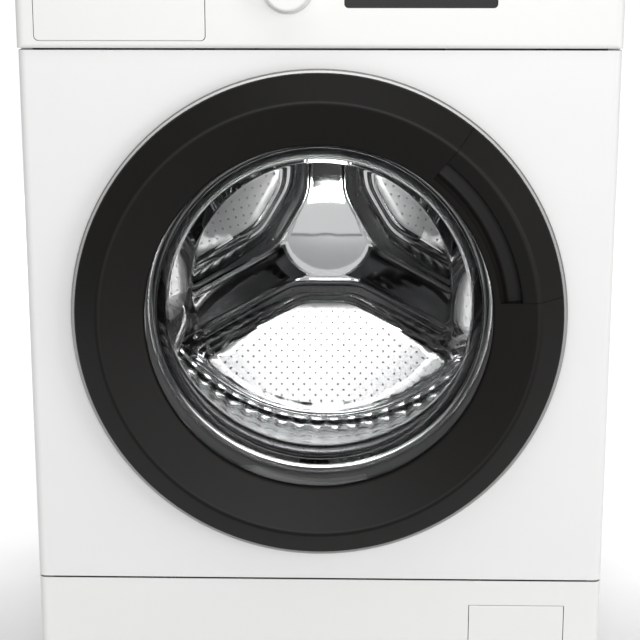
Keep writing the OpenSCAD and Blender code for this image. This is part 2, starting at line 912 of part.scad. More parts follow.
// Round flange where the two halves of the tub meet, with its bolt eyes
module seam_half_flange(z0, z1) {
  difference() {
    union() {
      translate([0, 0, z0])
        cylinder(h = z1 - z0, r = tub_outer + seam_flange - 4);
      for (i = [0:tub_bolts - 1])
        rotate([0, 0, 15 + 360 * i / tub_bolts])
          translate([tub_outer + 7.5, 0, z0])
            cylinder(h = z1 - z0, r = 6);
    }
    translate([0, 0, z0 - 1])
      cylinder(h = z1 - z0 + 2, r = tub_radius + tub_wall / 2);
    for (i = [0:tub_bolts - 1])
      rotate([0, 0, 15 + 360 * i / tub_bolts])
        translate([tub_outer + 7, 0, z0 - 1])
          cylinder(h = z1 - z0 + 2, r = 2.6);
  }
}

module tub_front() {
  face = -tub_front_depth;
  color("lightgray") drum_facing() {
    difference() {
      union() {
        rotate_extrude()
          polygon([[0, face], [neck_radius + 14, face], [tub_radius - 8, face - 4], [tub_outer, face - 12],
                   [tub_outer, -tub_seam_depth], [tub_radius, -tub_seam_depth], [tub_radius, face - 14],
                   [tub_radius - 9, face - 4 - tub_wall], [neck_radius + 14, face - tub_wall],
                   [0, face - tub_wall]]);
        translate([0, -drum_rise, face - 1])
          cylinder(h = tub_front_depth - neck_front + 1, r = neck_radius + tub_wall);
        seam_half_flange(-tub_seam_depth, -tub_seam_depth + seam_half);
        // Stiffening ribs round the barrel
        for (z = [-100, -140, -180, -220])
          translate([0, 0, z])
            difference() {
              cylinder(h = 3, r = tub_outer + 5);
              translate([0, 0, -1])
                cylinder(h = 5, r = tub_outer - 1);
            }
      }
      translate([0, -drum_rise, face - 10])
        cylinder(h = tub_front_depth, r = neck_radius);
      fill_opening();
    }
    fill_spigot();
  }
}

fill_depth = housing_back - 22;

module fill_opening() {
  translate([fall_x, 0, -fill_depth])
    rotate([-90, 0, 0])
      cylinder(h = 300, r = 9);
}

// Inlet on top of the tub, under the dispenser's fall pipe
module fill_spigot() {
  drop = sqrt(pow(tub_outer + 6, 2) - pow(fall_x, 2));
  difference() {
    translate([fall_x, drop - 18, -fill_depth])
      rotate([-90, 0, 0])
        cylinder(h = 32, r = 12);
    fill_opening();
    translate([0, 0, -fill_depth - 30])
      cylinder(h = 60, r = tub_radius + 1);
  }
}

module tub_rear() {
  inner = -tub_rear_depth;
  outer = inner - tub_wall;
  color("lightgray") drum_facing() {
    difference() {
      union() {
        rotate_extrude()
          polygon([[0, inner], [tub_radius, inner], [tub_radius, -tub_seam_depth],
               [tub_outer, -tub_seam_depth], [tub_outer, outer], [0, outer]]);
        seam_half_flange(-tub_seam_depth - seam_half, -tub_seam_depth);
        rear_ribs(outer);
        // Bearing hub
        translate([0, 0, -hub_end])
          cylinder(h = hub_end - tub_rear_depth, r = hub_radius);
        // Heater well
        translate([well_x - well_half - tub_wall, -well_bottom, outer])
          cube([2 * (well_half + tub_wall), 60, tub_rear_depth + tub_wall - well_front]);
        sump_spigot(14);
        motor_saddle();
        for (x = [-damper_x, damper_x])
          damper_lug(x);
        for (side = [-1, 1])
          spring_lug(side);
      }
      translate([0, 0, inner])
        cylinder(h = tub_rear_depth - tub_seam_depth + 1, r = tub_radius);
      translate([well_x - well_half, -well_bottom + tub_wall, inner])
        cube([2 * well_half, 70, tub_rear_depth - well_front - tub_wall]);
      sump_spigot(11);
      translate([0, 0, -hub_end - 1])
        cylinder(h = hub_end, r = shaft_radius + 4);
      bearing_seats();
      for (x = heater_rods())
        translate([x, -heater_drop, outer - 1])
          cylinder(h = 20, r = heater_radius + 0.3);
    }
  }
}

heater_radius = 3.5;
heater_drop = tub_radius + 14;
function heater_rods() = [well_x - 16, well_x + 16];

module rear_ribs(outer) {
  for (i = [0:11])
    rotate([0, 0, 15 + 30 * i])
      translate([hub_radius - 4, -1.5, outer - 12])
        cube([tub_outer - hub_radius, 3, 13]);
  for (r = [100, 160, 220])
    translate([0, 0, outer - 9])
      difference() {
        cylinder(h = 10, r = r + 1.5);
        translate([0, 0, -1])
          cylinder(h = 12, r = r - 1.5);
      }
}

module sump_spigot(r) {
  translate([well_x, -well_bottom - 10, -sump_depth])
    rotate([-90, 0, 0])
      cylinder(h = 16, r = r);
}

// Two bridges that carry the motor under the tub
module motor_saddle() {
  top = -motor_drop + motor_radius + 5;
  for (depth = [320, 445])
    difference() {
      translate([motor_x - 34, top, -depth - 12])
        cube([68, -top - 190, 12]);
      translate([0, 0, -depth - 13])
        cylinder(h = 14, r = tub_radius + 1);
    }
}

module damper_lug(x) {
  translate([x - 15, damper_top - drum_height, -damper_depth - 15])
    difference() {
      cube([30, 40, 30]);
      translate([-x + 15, -damper_top + drum_height, -1])
        cylinder(h = 32, r = tub_radius + 1);
    }
}

module spring_lug(side) {
  low = spring_low - fit_gap - drum_height;
  difference() {
    translate([side < 0 ? -spring_x - 10 : 180, low - 14, -spring_depth - 12])
      cube([spring_x - 170, 14, 24]);
    translate([0, 0, -spring_depth - 13])
      cylinder(h = 26, r = tub_radius + 1);
  }
}

bearing_width = 14;
bearing_outer = 31;
function bearing_depths() = [tub_rear_depth + 6, hub_end - bearing_width - 3];

module bearing_seats() {
  for (d = bearing_depths())
    translate([0, 0, -d - bearing_width])
      cylinder(h = bearing_width, r = bearing_outer);
  translate([0, 0, -hub_end - 1])
    cylinder(h = 4, r = bearing_outer);
}

module drum_bearings() {
  color("silver") drum_facing()
    for (d = bearing_depths())
      translate([0, 0, -d - bearing_width])
        difference() {
          cylinder(h = bearing_width, r = bearing_outer);
          translate([0, 0, -1])
            cylinder(h = bearing_width + 2, r = shaft_radius + running_gap);
          // Groove between the two races, on both faces
          for (z = [-1, bearing_width - 2])
            translate([0, 0, z])
              difference() {
                cylinder(h = 3, r = bearing_outer - 5);
                translate([0, 0, -1])
                  cylinder(h = 5, r = shaft_radius + 5);
              }
        }
}

module tub_screws() {
  color("silver") drum_facing()
    for (i = [0:tub_bolts - 1])
      rotate([0, 0, 15 + 360 * i / tub_bolts])
        translate([tub_outer + 7, 0, -tub_seam_depth - seam_half]) {
          translate([0, 0, -4])
            cylinder(h = 2 * seam_half + 4, r = 2.5);
          translate([0, 0, 2 * seam_half])
            cylinder(h = 4, r = 5, $fn = 6);
        }
}

// Lower crescent of cast iron on the front of the tub
module front_counterweight() {
  color("gray") drum_facing()
    rotate([0, 0, 200])
      rotate_extrude(angle = 140)
        polygon(rounded(neck_radius + 18, -tub_front_depth + 3, tub_radius, -tub_front_depth + 36, 4));
}

module top_counterweight() {
  x0 = -70;
  x1 = 130;
  depth0 = 106;
  depth1 = tub_seam_depth - seam_half - 6;
  color("gray") drum_facing()
    difference() {
      translate([x0, 190, -depth1])
        linear_extrude(depth1 - depth0)
          polygon(rounded(0, 0, x1 - x0, cabinet_top - 62 - drum_height - 190, 8));
      translate([0, 0, -depth1 - 1])
        cylinder(h = depth1 - depth0 + 2, r = tub_outer + 5 + fit_gap);
    }
}

module heater() {
  turn = -tub_seam_depth - 50;
  color("silver") drum_facing() {
    for (x = heater_rods())
      translate([x, -heater_drop, -tub_rear_depth - 24])
        cylinder(h = tub_rear_depth + 24 + turn, r = heater_radius);
    translate([well_x, -heater_drop, turn])
      rotate([90, 0, 0])
        rotate_extrude(angle = 180)
          translate([16, 0])
            circle(r = heater_radius, $fn = 32);
    difference() {
      translate([well_x - 30, -heater_drop - 10, -tub_rear_depth - tub_wall - 3])
        cube([60, 20, 3]);
      for (x = heater_rods())
        translate([x, -heater_drop, -tub_rear_depth - tub_wall - 4])
          cylinder(h = 5, r = heater_radius - 0.5);
    }
  }
}

// ---- Drive ----

module motor_housing() {
  pads = -motor_drop + motor_radius;
  color("dimgray") drum_facing()
    difference() {
      union() {
        translate([motor_x, -motor_drop, -motor_rear])
          cylinder(h = motor_rear - motor_front, r = motor_radius - 5);
        for (z = [-motor_front - 24, -motor_rear])
          translate([motor_x, -motor_drop, z])
            cylinder(h = 24, r = motor_radius);
        for (depth = [320, 445])
          translate([motor_x - 30, pads - 12, -depth - 12])
            cube([60, 17, 12]);
      }
      translate([motor_x, -motor_drop, -motor_rear - 1])
        cylinder(h = 90, r = 6 + running_gap);
      translate([motor_x, -motor_drop, -motor_rear + 20])
        cylinder(h = motor_rear - motor_front - 40, r = rotor_radius + 1);
      // Cooling slots in the middle of the housing
      for (i = [0:11])
        rotate_about(motor_x, -motor_drop, 30 * i)
          translate([motor_radius - 20, -2, -motor_rear + 40])
            cube([30, 4, motor_rear - motor_front - 80]);
    }
}

rotor_radius = 32;

module rotate_about(x, y, a) {
  translate([x, y, 0])
    rotate([0, 0, a])
      children();
}

module motor_rotor() {
  color("silver") drum_facing()
    translate([motor_x, -motor_drop, 0]) {
      translate([0, 0, -belt_depth - belt_width - 2])
        cylinder(h = belt_depth + belt_width + 2 - motor_rear + 30, r = 6);
      translate([0, 0, -motor_rear + 24])
        cylinder(h = motor_rear - motor_front - 48, r = rotor_radius);
      translate([0, 0, -belt_depth - belt_width - 1])
        difference() {
          cylinder(h = belt_width + 2, r = motor_pulley_radius);
          translate([0, 0, -1])
            cylinder(h = belt_width + 4, r = 5);
        }
      for (z = [-belt_depth - belt_width - 2.5, -belt_depth + 1])
        translate([0, 0, z])
          cylinder(h = 1.5, r = motor_pulley_radius + 3);
    }
}

// Outline round both pulleys, with straight runs between them; the small one lies on +x
function belt_outline(large, small, span) =
  let (lean = acos((large - small) / span))
  concat(arc(0, 0, large, lean, 360 - lean, 60), arc(span, 0, small, -lean, lean, 12));

module drive_belt() {
  span = norm([motor_x, motor_drop]);
  color("black") drum_facing()
    rotate([0, 0, atan2(-motor_drop, motor_x)])
      translate([0, 0, -belt_depth - belt_width])
        linear_extrude(belt_width)
          difference() {
            polygon(belt_outline(pulley_radius + fit_gap + belt_thickness,
                       motor_pulley_radius + fit_gap + belt_thickness, span));
            polygon(belt_outline(pulley_radius + fit_gap, motor_pulley_radius + fit_gap, span));
          }
}

module drum_pulley() {
  spokes = 6;
  color("silver") drum_facing()
    translate([0, 0, -belt_depth - belt_width - 1]) {
      difference() {
        cylinder(h = belt_width + 2, r = pulley_radius);
        translate([0, 0, -1])
          cylinder(h = belt_width + 4, r = pulley_radius - 7);
      }
      difference() {
        cylinder(h = belt_width + 4, r = 26);
        translate([0, 0, -1])
          cylinder(h = belt_width + 6, r = shaft_radius);
      }
      for (i = [0:spokes - 1])
        rotate([0, 0, 360 * i / spokes])
          translate([0, 0, 2])
            linear_extrude(8)
              polygon([[24, -11], [pulley_radius - 5, -6], [pulley_radius - 5, 6], [24, 11]]);
    }
}

module drum_shaft() {
  color("silver") drum_facing()
    translate([0, 0, -belt_depth - belt_width - 4])
      difference() {
        cylinder(h = belt_depth + belt_width + 4 - drum_back_depth - 16, r = shaft_radius);
        translate([0, 0, -1])
          cylinder(h = 18, r = 4);
      }
}

// ---- Drum ----

function arm_angles() = [90, 210, 330];

module drum_spider() {
  top = -drum_back_depth - drum_sheet - fit_gap;
  thick = 22;
  color("silver") drum_facing()
    difference() {
      union() {
        translate([0, 0, top - 32])
          cylinder(h = 32, r = 30);
        for (a = arm_angles())
          rotate([0, 0, a])
            translate([0, 0, top - thick])
              linear_extrude(thick)
                polygon([[0, -16], [drum_radius - 7, -10], [drum_radius - 6, 0],
                     [drum_radius - 7, 10], [0, 16]]);
      }
      translate([0, 0, top - 33])
        cylinder(h = 60, r = shaft_radius);
      // Lightening pockets open to the rear
      for (a = arm_angles())
        rotate([0, 0, a])
          translate([0, 0, top - thick - 1])
            linear_extrude(thick - 5)
              polygon([[44, -10], [drum_radius - 14, -5.5], [drum_radius - 14, 5.5], [44, 10]]);
    }
}

hole_rows = 5;
hole_columns = 24;
hole_radius = 3;

module drum_wrap() {
  front = drum_front_depth + 4;
  pitch = (drum_back_depth - front - 24) / (hole_rows - 1);
  color("silver") drum_facing()
    difference() {
      translate([0, 0, -drum_end])
        cylinder(h = drum_end - front, r = drum_outer);
      translate([0, 0, -drum_end - 1])
        cylinder(h = drum_end - front + 2, r = drum_radius);
      for (row = [0:hole_rows - 1], i = [0:hole_columns - 1])
        rotate([0, 0, 360 * (i + 0.5 * (row % 2)) / hole_columns])
          translate([drum_radius - 2, 0, -front - 12 - row * pitch])
            rotate([0, 90, 0])
              cylinder(h = 6, r = hole_radius);
    }
}

lobe_side = 23;
lobe_rim = 214;
lobe_apex = 53;
lobe_nose = 110;
lobe_slope = 15;

// Outline of one pressed field between two arms, pointing along +x
module lobe_outline(inset) {
  offset(r = 22 - inset * 0.6)
    offset(delta = -22 - inset * 0.4)
      intersection() {
        circle(r = lobe_rim);
        translate([lobe_apex + lobe_nose, 0])
          circle(r = lobe_nose + 60);
        polygon([[lobe_side / sin(60), 0], [lobe_side / sin(60) + 300, 520],
             [lobe_side / sin(60) + 300, -520]]);
        translate([lobe_apex, -300])
          square([300, 600]);
      }
}

// A pressed field: wide at the arms' level and narrower at its floor
module lobe(top, floor, grow) {
  $fn = 32;
  hull() {
    translate([0, 0, top])
      linear_extrude(0.01)
        offset(delta = grow)
          lobe_outline(0);
    translate([0, 0, floor])
      linear_extrude(0.01)
        offset(delta = grow)
          lobe_outline(lobe_slope);
  }
}

module drum_back() {
  top = -drum_back_depth;
  rim = drum_radius - fit_gap;
  color("silver") drum_facing()
    difference() {
      union() {
        rotate_extrude()
          polygon(concat([[0, top], [rim - 5, top]], arc(rim - 5, top - 5, 5, 90, 0, 5),
                  [[rim, -drum_end + 1], [rim - drum_sheet, -drum_end + 1],
                  [rim - drum_sheet, top - 5], [rim - 5, top - drum_sheet], [0, top - drum_sheet]]));
        for (a = arm_angles())
          rotate([0, 0, a + 60])
            lobe(top - 0.01, top - field_depth, 0);
      }
      for (a = arm_angles())
        rotate([0, 0, a + 60])
          lobe(top + 0.01, top - field_depth + drum_sheet, -drum_sheet);
      for (a = arm_angles(), k = [-1, 0, 1])
        rotate([0, 0, a + 60 + 16 * k])
          for (r = [110, 145, 180])
            translate([r, 0, top - field_depth - 1])
              cylinder(h = 4, r = hole_radius);
    }
}

module drum_front_ring() {
  t = 1.2;
  rim = drum_radius - fit_gap - t / 2;
  front = -drum_front_depth;
  path = concat(
    [[rim, front - 22]],
    arc(rim - 6, front - 6, 6, 0, 80, 5),
    [[drum_mouth_radius + 26, front + 2]],
    arc(drum_mouth_radius + 7, front - 5, 7, 90, 180, 6),
    [[drum_mouth_radius, front - 12]]
  );
  color("silver") drum_facing()
    rotate_extrude()
      polygon(ribbon(path, t));
}

// Hollow paddle on the drum wall, with rounded crest and sloping ends
module lifter(a) {
  front = drum_front_depth + 26;
  rear = drum_back_depth - 6;
  base = sqrt(pow(drum_radius - fit_gap, 2) - pow(34, 2));
  crest = drum_radius - lifter_height;
  outline = concat([[base, -34]], arc(base - 2, -30, 4, 270, 200, 4), arc(crest + 9, 0, 9, 240, 120, 8),
           arc(base - 2, 30, 4, 160, 90, 4), [[base, 34]], arc(0, 0, drum_radius - fit_gap, 8, -8, 6));
  color("silver") drum_facing()
    rotate([0, 0, a])
      difference() {
        translate([0, 0, -rear])
          linear_extrude(rear - front)
            polygon(outline);
        // Sloping ends
        translate([crest - 1, -50, -front])
          rotate([0, 40, 0])
            cube([120, 100, 60]);
        translate([crest - 1, -50, -rear])
          rotate([0, 50, 0])
            translate([0, 0, -60])
              cube([120, 100, 60]);
        // Water holes in both flanks
        for (z = [-rear + 60:40:-front - 60])
          translate([base - 16, -50, z])
            rotate([-90, 0, 0])
              cylinder(h = 100, r = 4);
      }
}

module lifter_1() {
  lifter(arm_angles()[0]);
}

module lifter_2() {
  lifter(arm_angles()[1]);
}

module lifter_3() {
  lifter(arm_angles()[2]);
}

// ---- Door ----

// Front surface of the door, from the rim over the crest down to the glass
function ring_surface(rim, inner) = concat(
  arc(rim - rim_round, rim_height, rim_round, 0, bevel_tilt, 5),
  arc(crest_radius - 2, door_reach - crest_round, crest_round, bevel_tilt, slope_tilt, 7),
  inner
);
function glass_lip() = arc(view_radius + lip_round, rim_height - 1, lip_round, slope_tilt, 180, 4);

function ring_profile() = concat(
  [[ring_radius, skirt_bottom]], ring_surface(ring_radius, glass_lip()), [[view_radius, glass_top + 0.4]]
);

// Height of the sloping face between crest and glass, at a radius
function slope_height(r) =
  let (
    high = [crest_radius - 2 + crest_round * cos(slope_tilt),
            door_reach - crest_round + crest_round * sin(slope_tilt)],
    low = glass_lip()[0]
  )
  low[1] + (high[1] - low[1]) * (r - low[0]) / (high[0] - low[0]);

module hinge_pocket(x_left, low, high) {
  translate([x_left, -pocket_half, low])
    cube([-hinge_offset + pocket_reach - x_left, 2 * pocket_half, high - low]);
}

module handle_sector(gap_angle = 0) {
  rotate([0, 0, handle_start + gap_angle])
    rotate_extrude(angle = handle_sweep - 2 * gap_angle)
      children();
}

module door_ring() {
  sill = scoop_radius - 6;
  middle = shifted(ring_profile(), 1);
  inside = [for (i = [1:len(middle) - 2]) middle[i]];
  color("#2e2c29") facing() {
    difference() {
      union() {
        rotate_extrude()
          polygon(skin(ring_profile(), ring_wall));
        // Floor and end walls of the finger recess
        handle_sector()
          polygon([[view_radius + 1, glass_top + 0.4], [ring_radius - 0.5, glass_top + 0.4],
               [ring_radius - 0.5, scoop_floor + 1], [scoop_radius, scoop_floor + 2],
               [sill, slope_height(sill) - 1], [view_radius + 1, rim_height - 2]]);
        for (a = [handle_start - 0.5, handle_start + handle_sweep - 0.1])
          rotate([0, 0, a])
            rotate_extrude(angle = 0.6)
              polygon(concat([[ring_radius - 1, glass_top + 1]], inside, [[view_radius + 1, glass_top + 1]]));
        ring_bosses();
      }
      handle_sector()
        polygon(concat([[sill, 60], [sill, slope_height(sill) - 0.2]],
                arc(scoop_radius + 4, scoop_floor + 6, 6, 225, 270, 4),
                [[ring_radius + 2, scoop_floor], [ring_radius + 2, 60]]));
      hinge_pocket(-ring_radius - 2, -1, skirt_bottom);
      hinge_pocket(-246, -1, hinge_reach + 4.5);
    }
    pivot_bosses();
  }
}

// Posts that the rear frame is screwed to
module ring_bosses() {
  for (a = [75, 115, 150, 210, 250, 290, 330])
    rotate([0, 0, a])
      translate([215, 0, frame_top])
        cylinder(h = slope_height(210) - frame_top - 0.4, r = 5);
}

boss_inner = 26.4;
boss_outer = 33;

module pivot_bosses() {
  r = handle_pin_radius + 1.1;
  rotate([0, 0, handle_mid])
    for (side = [0, 1])
      mirror([0, side, 0])
        difference() {
          union() {
            translate([handle_pivot - r, boss_inner, scoop_floor - 0.5])
              cube([2 * r, boss_outer - boss_inner, handle_pivot_height - scoop_floor + 0.5]);
            translate([handle_pivot, boss_inner, handle_pivot_height])
              rotate([-90, 0, 0])
                cylinder(h = boss_outer - boss_inner, r = r);
          }
          translate([handle_pivot, boss_inner - 1, handle_pivot_height])
            rotate([-90, 0, 0])
              cylinder(h = boss_outer - boss_inner + 2, r = handle_pin_radius + running_gap);
        }
}

// Arc-shaped grip over the finger recess, on two stub pins near its outer edge
module door_handle() {
  edge = slope_height(handle_inner + 4);
  path = concat(
    [[ring_radius, rim_height - 0.6]],
    ring_surface(ring_radius, arc(handle_inner + 4, edge - 4, 4, slope_tilt, 180, 4)),
    [[handle_inner, edge - 9]]
  );
  r = handle_pin_radius + 1.3;
  color("#2e2c29") facing() {
    handle_sector(handle_gap * 180 / PI / ring_radius + 0.02)
      polygon(skin(path, 3.2));
    rotate([0, 0, handle_mid])
      for (side = [0, 1])
        mirror([0, side, 0]) {
          translate([handle_pivot, 20, handle_pivot_height])
            rotate([-90, 0, 0])
              cylinder(h = 6, r = r);
          translate([handle_pivot - r, 20, handle_pivot_height])
            cube([2 * r, 6, 7]);
          translate([handle_pivot, 20, handle_pivot_height])
            rotate([-90, 0, 0])
              cylinder(h = boss_outer - 20.4, r = handle_pin_radius);
        }
  }
}

module door_trim_ring() {
  color("silver") facing()
    difference() {
      rotate_extrude()
        polygon([[trim_inner, frame_top + 0.3], [trim_radius - 1.5, frame_top + 0.3],
             [trim_radius, frame_top + 1.8], [trim_radius, skirt_bottom + 2],
             [trim_radius - 1.5, skirt_bottom + 3.5], [ring_radius + fit_gap, skirt_bottom + 3.5],
             [ring_radius + fit_gap, skirt_bottom - 0.3], [trim_inner, skirt_bottom - 0.3]]);
      hinge_pocket(-trim_radius - 2, -1, skirt_bottom);
    }
}

module door_inner_frame() {
  seat = hinge_offset - pocket_reach - flange_radius - fit_gap;
  color("whitesmoke") facing() {
    difference() {
      rotate_extrude()
        polygon([[view_radius + 6, door_gap], [238, door_gap], [240, door_gap + 1.5], [240, frame_top],
             [trim_inner, frame_top], [trim_inner, door_gap + 3], [197, door_gap + 3],
             [197, frame_top], [185, frame_top], [view_radius + 6, frame_top - 2]]);
      hinge_pocket(-260, -1, 20);
      hook_place() {
        translate([-12, -6, -hook_pivot_height])
          cube([24, 12, 20]);
        translate([0, -14, 0])
          rotate([-90, 0, 0])
            cylinder(h = 28, r = hook_pin_radius + running_gap);
      }
    }
    // Seat of the hinge arm
    translate([-hinge_offset + pocket_reach, -barrel_half, door_gap])
      cube([seat, 2 * barrel_half, arm_height - door_gap]);
    // Ears of the latch hook
    hook_place()
      for (side = [0, 1])
        mirror([0, side, 0])
          difference() {
            translate([-5, 6, door_gap - hook_pivot_height])
              cube([10, 4, hook_pivot_height + 4 - door_gap]);
            translate([0, 5, 0])
              rotate([-90, 0, 0])
                cylinder(h = 6, r = hook_pin_radius + running_gap);
          }
  }
}

// Puts a piece on the latch hook's pivot, with x pointing away from the door's axis
module hook_place() {
  rotate([0, 0, handle_mid])
    translate([hook_pivot, 0, hook_pivot_height])
      children();
}

// Outer surface of the glass, from its rear to its clamped flange
function bowl_surface() =
  let (
    slope = (bowl_radius - bowl_rear_radius) / (bowl_depth - neck_depth),
    deep = bowl_depth + 50
  )
  [
    [bowl_radius - slope * (deep - neck_depth), -deep], [bowl_radius, -neck_depth],
    [bowl_radius + 2, -neck_depth + 9], [bowl_radius + 8, 1], [view_radius + 1, 7.5],
    [view_radius + 5, 9.3], [flange_radius, 9.3]
  ];

module bowl_solid(path, top, rear) {
  difference() {
    rotate_extrude()
      polygon(concat([[0, path[0][1]]], path, [[path[len(path) - 1][0], top], [0, top]]));
    translate([0, 0, rear])
      rotate([bowl_slant, 0, 0])
        translate([-300, -300, -200])
          cube([600, 600, 200]);
  }
}

module door_glass() {
  inner = shifted(bowl_surface(), glass_thickness);
  color([0.6, 0.65, 0.68, 0.4]) facing()
    difference() {
      bowl_solid(bowl_surface(), glass_top, -bowl_depth);
      bowl_solid([for (i = [0:4]) inner[i]], glass_top + 5, -bowl_depth + glass_thickness);
    }
}

// Moving half of the door hinge: a barrel on the pin and an arm to the door's frame
module hinge_arm() {
  color("silver") facing()
    translate([-hinge_offset, 0, 0])
      difference() {
        union() {
          translate([0, -barrel_half, hinge_reach])
            rotate([-90, 0, 0])
              cylinder(h = 2 * barrel_half, r = ear_radius);
          translate([0, -barrel_half, arm_height])
            cube([hinge_offset - flange_radius - fit_gap, 2 * barrel_half, arm_thickness]);
          translate([0, -barrel_half, hinge_reach])
            cube([4, 2 * barrel_half, 4]);
        }
        translate([0, -barrel_half - 1, hinge_reach])
          rotate([-90, 0, 0])
            cylinder(h = 2 * barrel_half + 2, r = hinge_pin_radius + running_gap);
      }
}

module latch_hook() {
  tip = -hook_reach - hook_pivot_height;
  color("silver") facing()
    hook_place()
      rotate([90, 0, 0]) {
        translate([0, 0, -4])
          linear_extrude(8)
            polygon(concat(arc(0, 0, 4.5, 0, 180, 8),
                           [[-4.5, tip], [3, tip], [9, tip + 8], [3, tip + 9], [3, -6], [4.5, -3]]));
        translate([0, 0, -9.7])
          cylinder(h = 19.4, r = hook_pin_radius);
      }
}

// ---- Controls and drawer ----

module program_knob() {
  face = front_y - fascia_reach;
  grip = knob_reach - fascia_reach;
  color("silver") {
    translate([knob_x, face - 0.6, control_mid])
      rotate([90, 0, 0]) {
        difference() {
          rotate_extrude()
            polygon(concat([[0, 0], [knob_radius + 2, 0], [knob_radius + 2, 2], [knob_radius, 3]],
                    arc(knob_radius - 3, grip - 3, 3, 0, 90, 5), [[0, grip]]));
          // Finger flutes and the pointer groove
          for (i = [0:23])
            rotate([0, 0, 15 * i + 7.5])
              translate([knob_radius + 0.8, 0, 5])
                cylinder(h = grip, r = 1.6, $fn = 24);
          translate([-0.8, knob_radius - 12, grip - 1])
            cube([1.6, 14, 3]);
        }
        translate([0, 0, -(module_depth + fascia_reach + 12)])
          cylinder(h = module_depth + fascia_reach + 13, r = 3);
      }
  }
}

module round_button(x) {
  face = front_y - fascia_reach;
  stem_end = front_y + module_depth - button_travel - fit_gap;
  color("silver") {
    translate([x, face + 4, control_mid])
      rotate([90, 0, 0])
        rotate_extrude()
          polygon(concat([[0, 0], [button_radius, 0]],
                  arc(button_radius - 1, 4 + button_travel - 0.4, 1, 0, 90, 4),
                  [[button_radius * 0.55, 4 + button_travel], [0, 3.4 + button_travel]]));
    disc_y(x, control_mid, button_radius + 2.5, face + 2.5 + fit_gap, face + 5);
    disc_y(x, control_mid, 3, face + 4, stem_end);
  }
}

module power_button() {
  round_button(power_x);
}

module start_button() {
  round_button(start_x);
}

module detergent_drawer() {
  left = drawer_left + reveal;
  right = drawer_left + drawer_width - reveal;
  low = drawer_bottom + reveal;
  high = low + tray_height;
  front = front_y - fascia_reach + 4;
  back = front + drawer_length - 8;
  wall = 2;
  split = (right - left - 4 * wall) / 3;
  color("whitesmoke") difference() {
    intersection() {
      block(left, right, front, back, low, high);
      drawer_opening(-reveal, front - 1, back + 1);
    }
    for (i = [0:2])
      translate([left + wall + i * (split + wall), front + wall, low + wall])
        cube([split, back - front - 2 * wall, high]);
  }
}

module drawer_front() {
  face = front_y - fascia_reach;
  low = drawer_bottom + reveal;
  high = drawer_bottom + drawer_height - reveal;
  color("white")
    intersection() {
      along_x(drawer_left + reveal, drawer_left + drawer_width - reveal)
        polygon(concat([[face + 4, low], [face, low], [face, high - 30]],
                arc(face - 9, high - 21, 9, -20, 70, 6),
                arc(face - 9, high - 5, 3, 220, 90, 6), [[face + 4, high]]));
      drawer_opening(-reveal, face - 20, face + 10);
    }
}

// ---- Service flap and filter ----

module service_flap() {
  pin_y = front_y + 4;
  pin_z = flap_bottom + 4;
  right = flap_left + flap_width;
  color("white") {
    along_x(flap_left, right)
      polygon(concat([[front_y + flap_sheet, flap_bottom]],
              arc(front_y + 1.5, flap_bottom + 1.5, 1.5, 270, 180, 3),
              arc(front_y + 1, flap_bottom + flap_height - 1, 1, 180, 90, 3),
              [[front_y + flap_sheet, flap_bottom + flap_height]]));
    for (x = [flap_left, right - 4])
      block(x, x + 4, front_y + flap_sheet - 0.5, pin_y + 2.5, pin_z - 2.5, pin_z + 2.5);
    rod_x(pin_y, pin_z, 1.5, flap_left - reveal - 3, flap_left + 2);
    rod_x(pin_y, pin_z, 1.5, right - 2, right + reveal + 3);
  }
}

module filter_cap() {
  front = front_y + 14;
  color("gray") {
    disc_y(filter_x, filter_z, filter_radius - 0.1, front + 1, front + 30);
    disc_y(filter_x, filter_z, filter_radius + 4, front - 2.5, front - fit_gap);
    disc_y(filter_x, filter_z, filter_radius - 6, front - 3, front + 2);
    block(filter_x - 3, filter_x + 3, front - 9, front - 2, filter_z - 20, filter_z + 20);
  }
}

left_side_panel();
right_side_panel();
rear_panel();
rear_access_cover();
base_tray();
worktop();
front_panel();
fascia_panel();
kick_panel();
levelling_feet();
cabinet_screws();
dispenser_housing();
inlet_valve();
inlet_hose();
drain_connector();
control_module();
display_window();
door_lock();
hinge_bracket();
hinge_pin();
door_gasket();
drain_pump();
sump_hose();
filling_hose();
damper_rods();
suspension_springs();
tub_front();
tub_rear();
tub_screws();
front_counterweight();
top_counterweight();
drum_bearings();
motor_housing();
damper_cylinders();
drive_belt();
heater();
drum_wrap();
drum_back();
drum_front_ring();
lifter_1();
lifter_2();
lifter_3();
drum_spider();
drum_shaft();
drum_pulley();
motor_rotor();
door_ring();
door_trim_ring();
door_inner_frame();
door_glass();
hinge_arm();
door_handle();
latch_hook();
program_knob();
power_button();
start_button();
detergent_drawer();
drawer_front();
service_flap();
filter_cap();
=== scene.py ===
"""Looks of the front load washing machine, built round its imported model. Metres, +Z up, the door faces -Y."""
import json
import math
import bpy
import numpy as np
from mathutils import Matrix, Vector
from mathutils.geometry import delaunay_2d_cdt


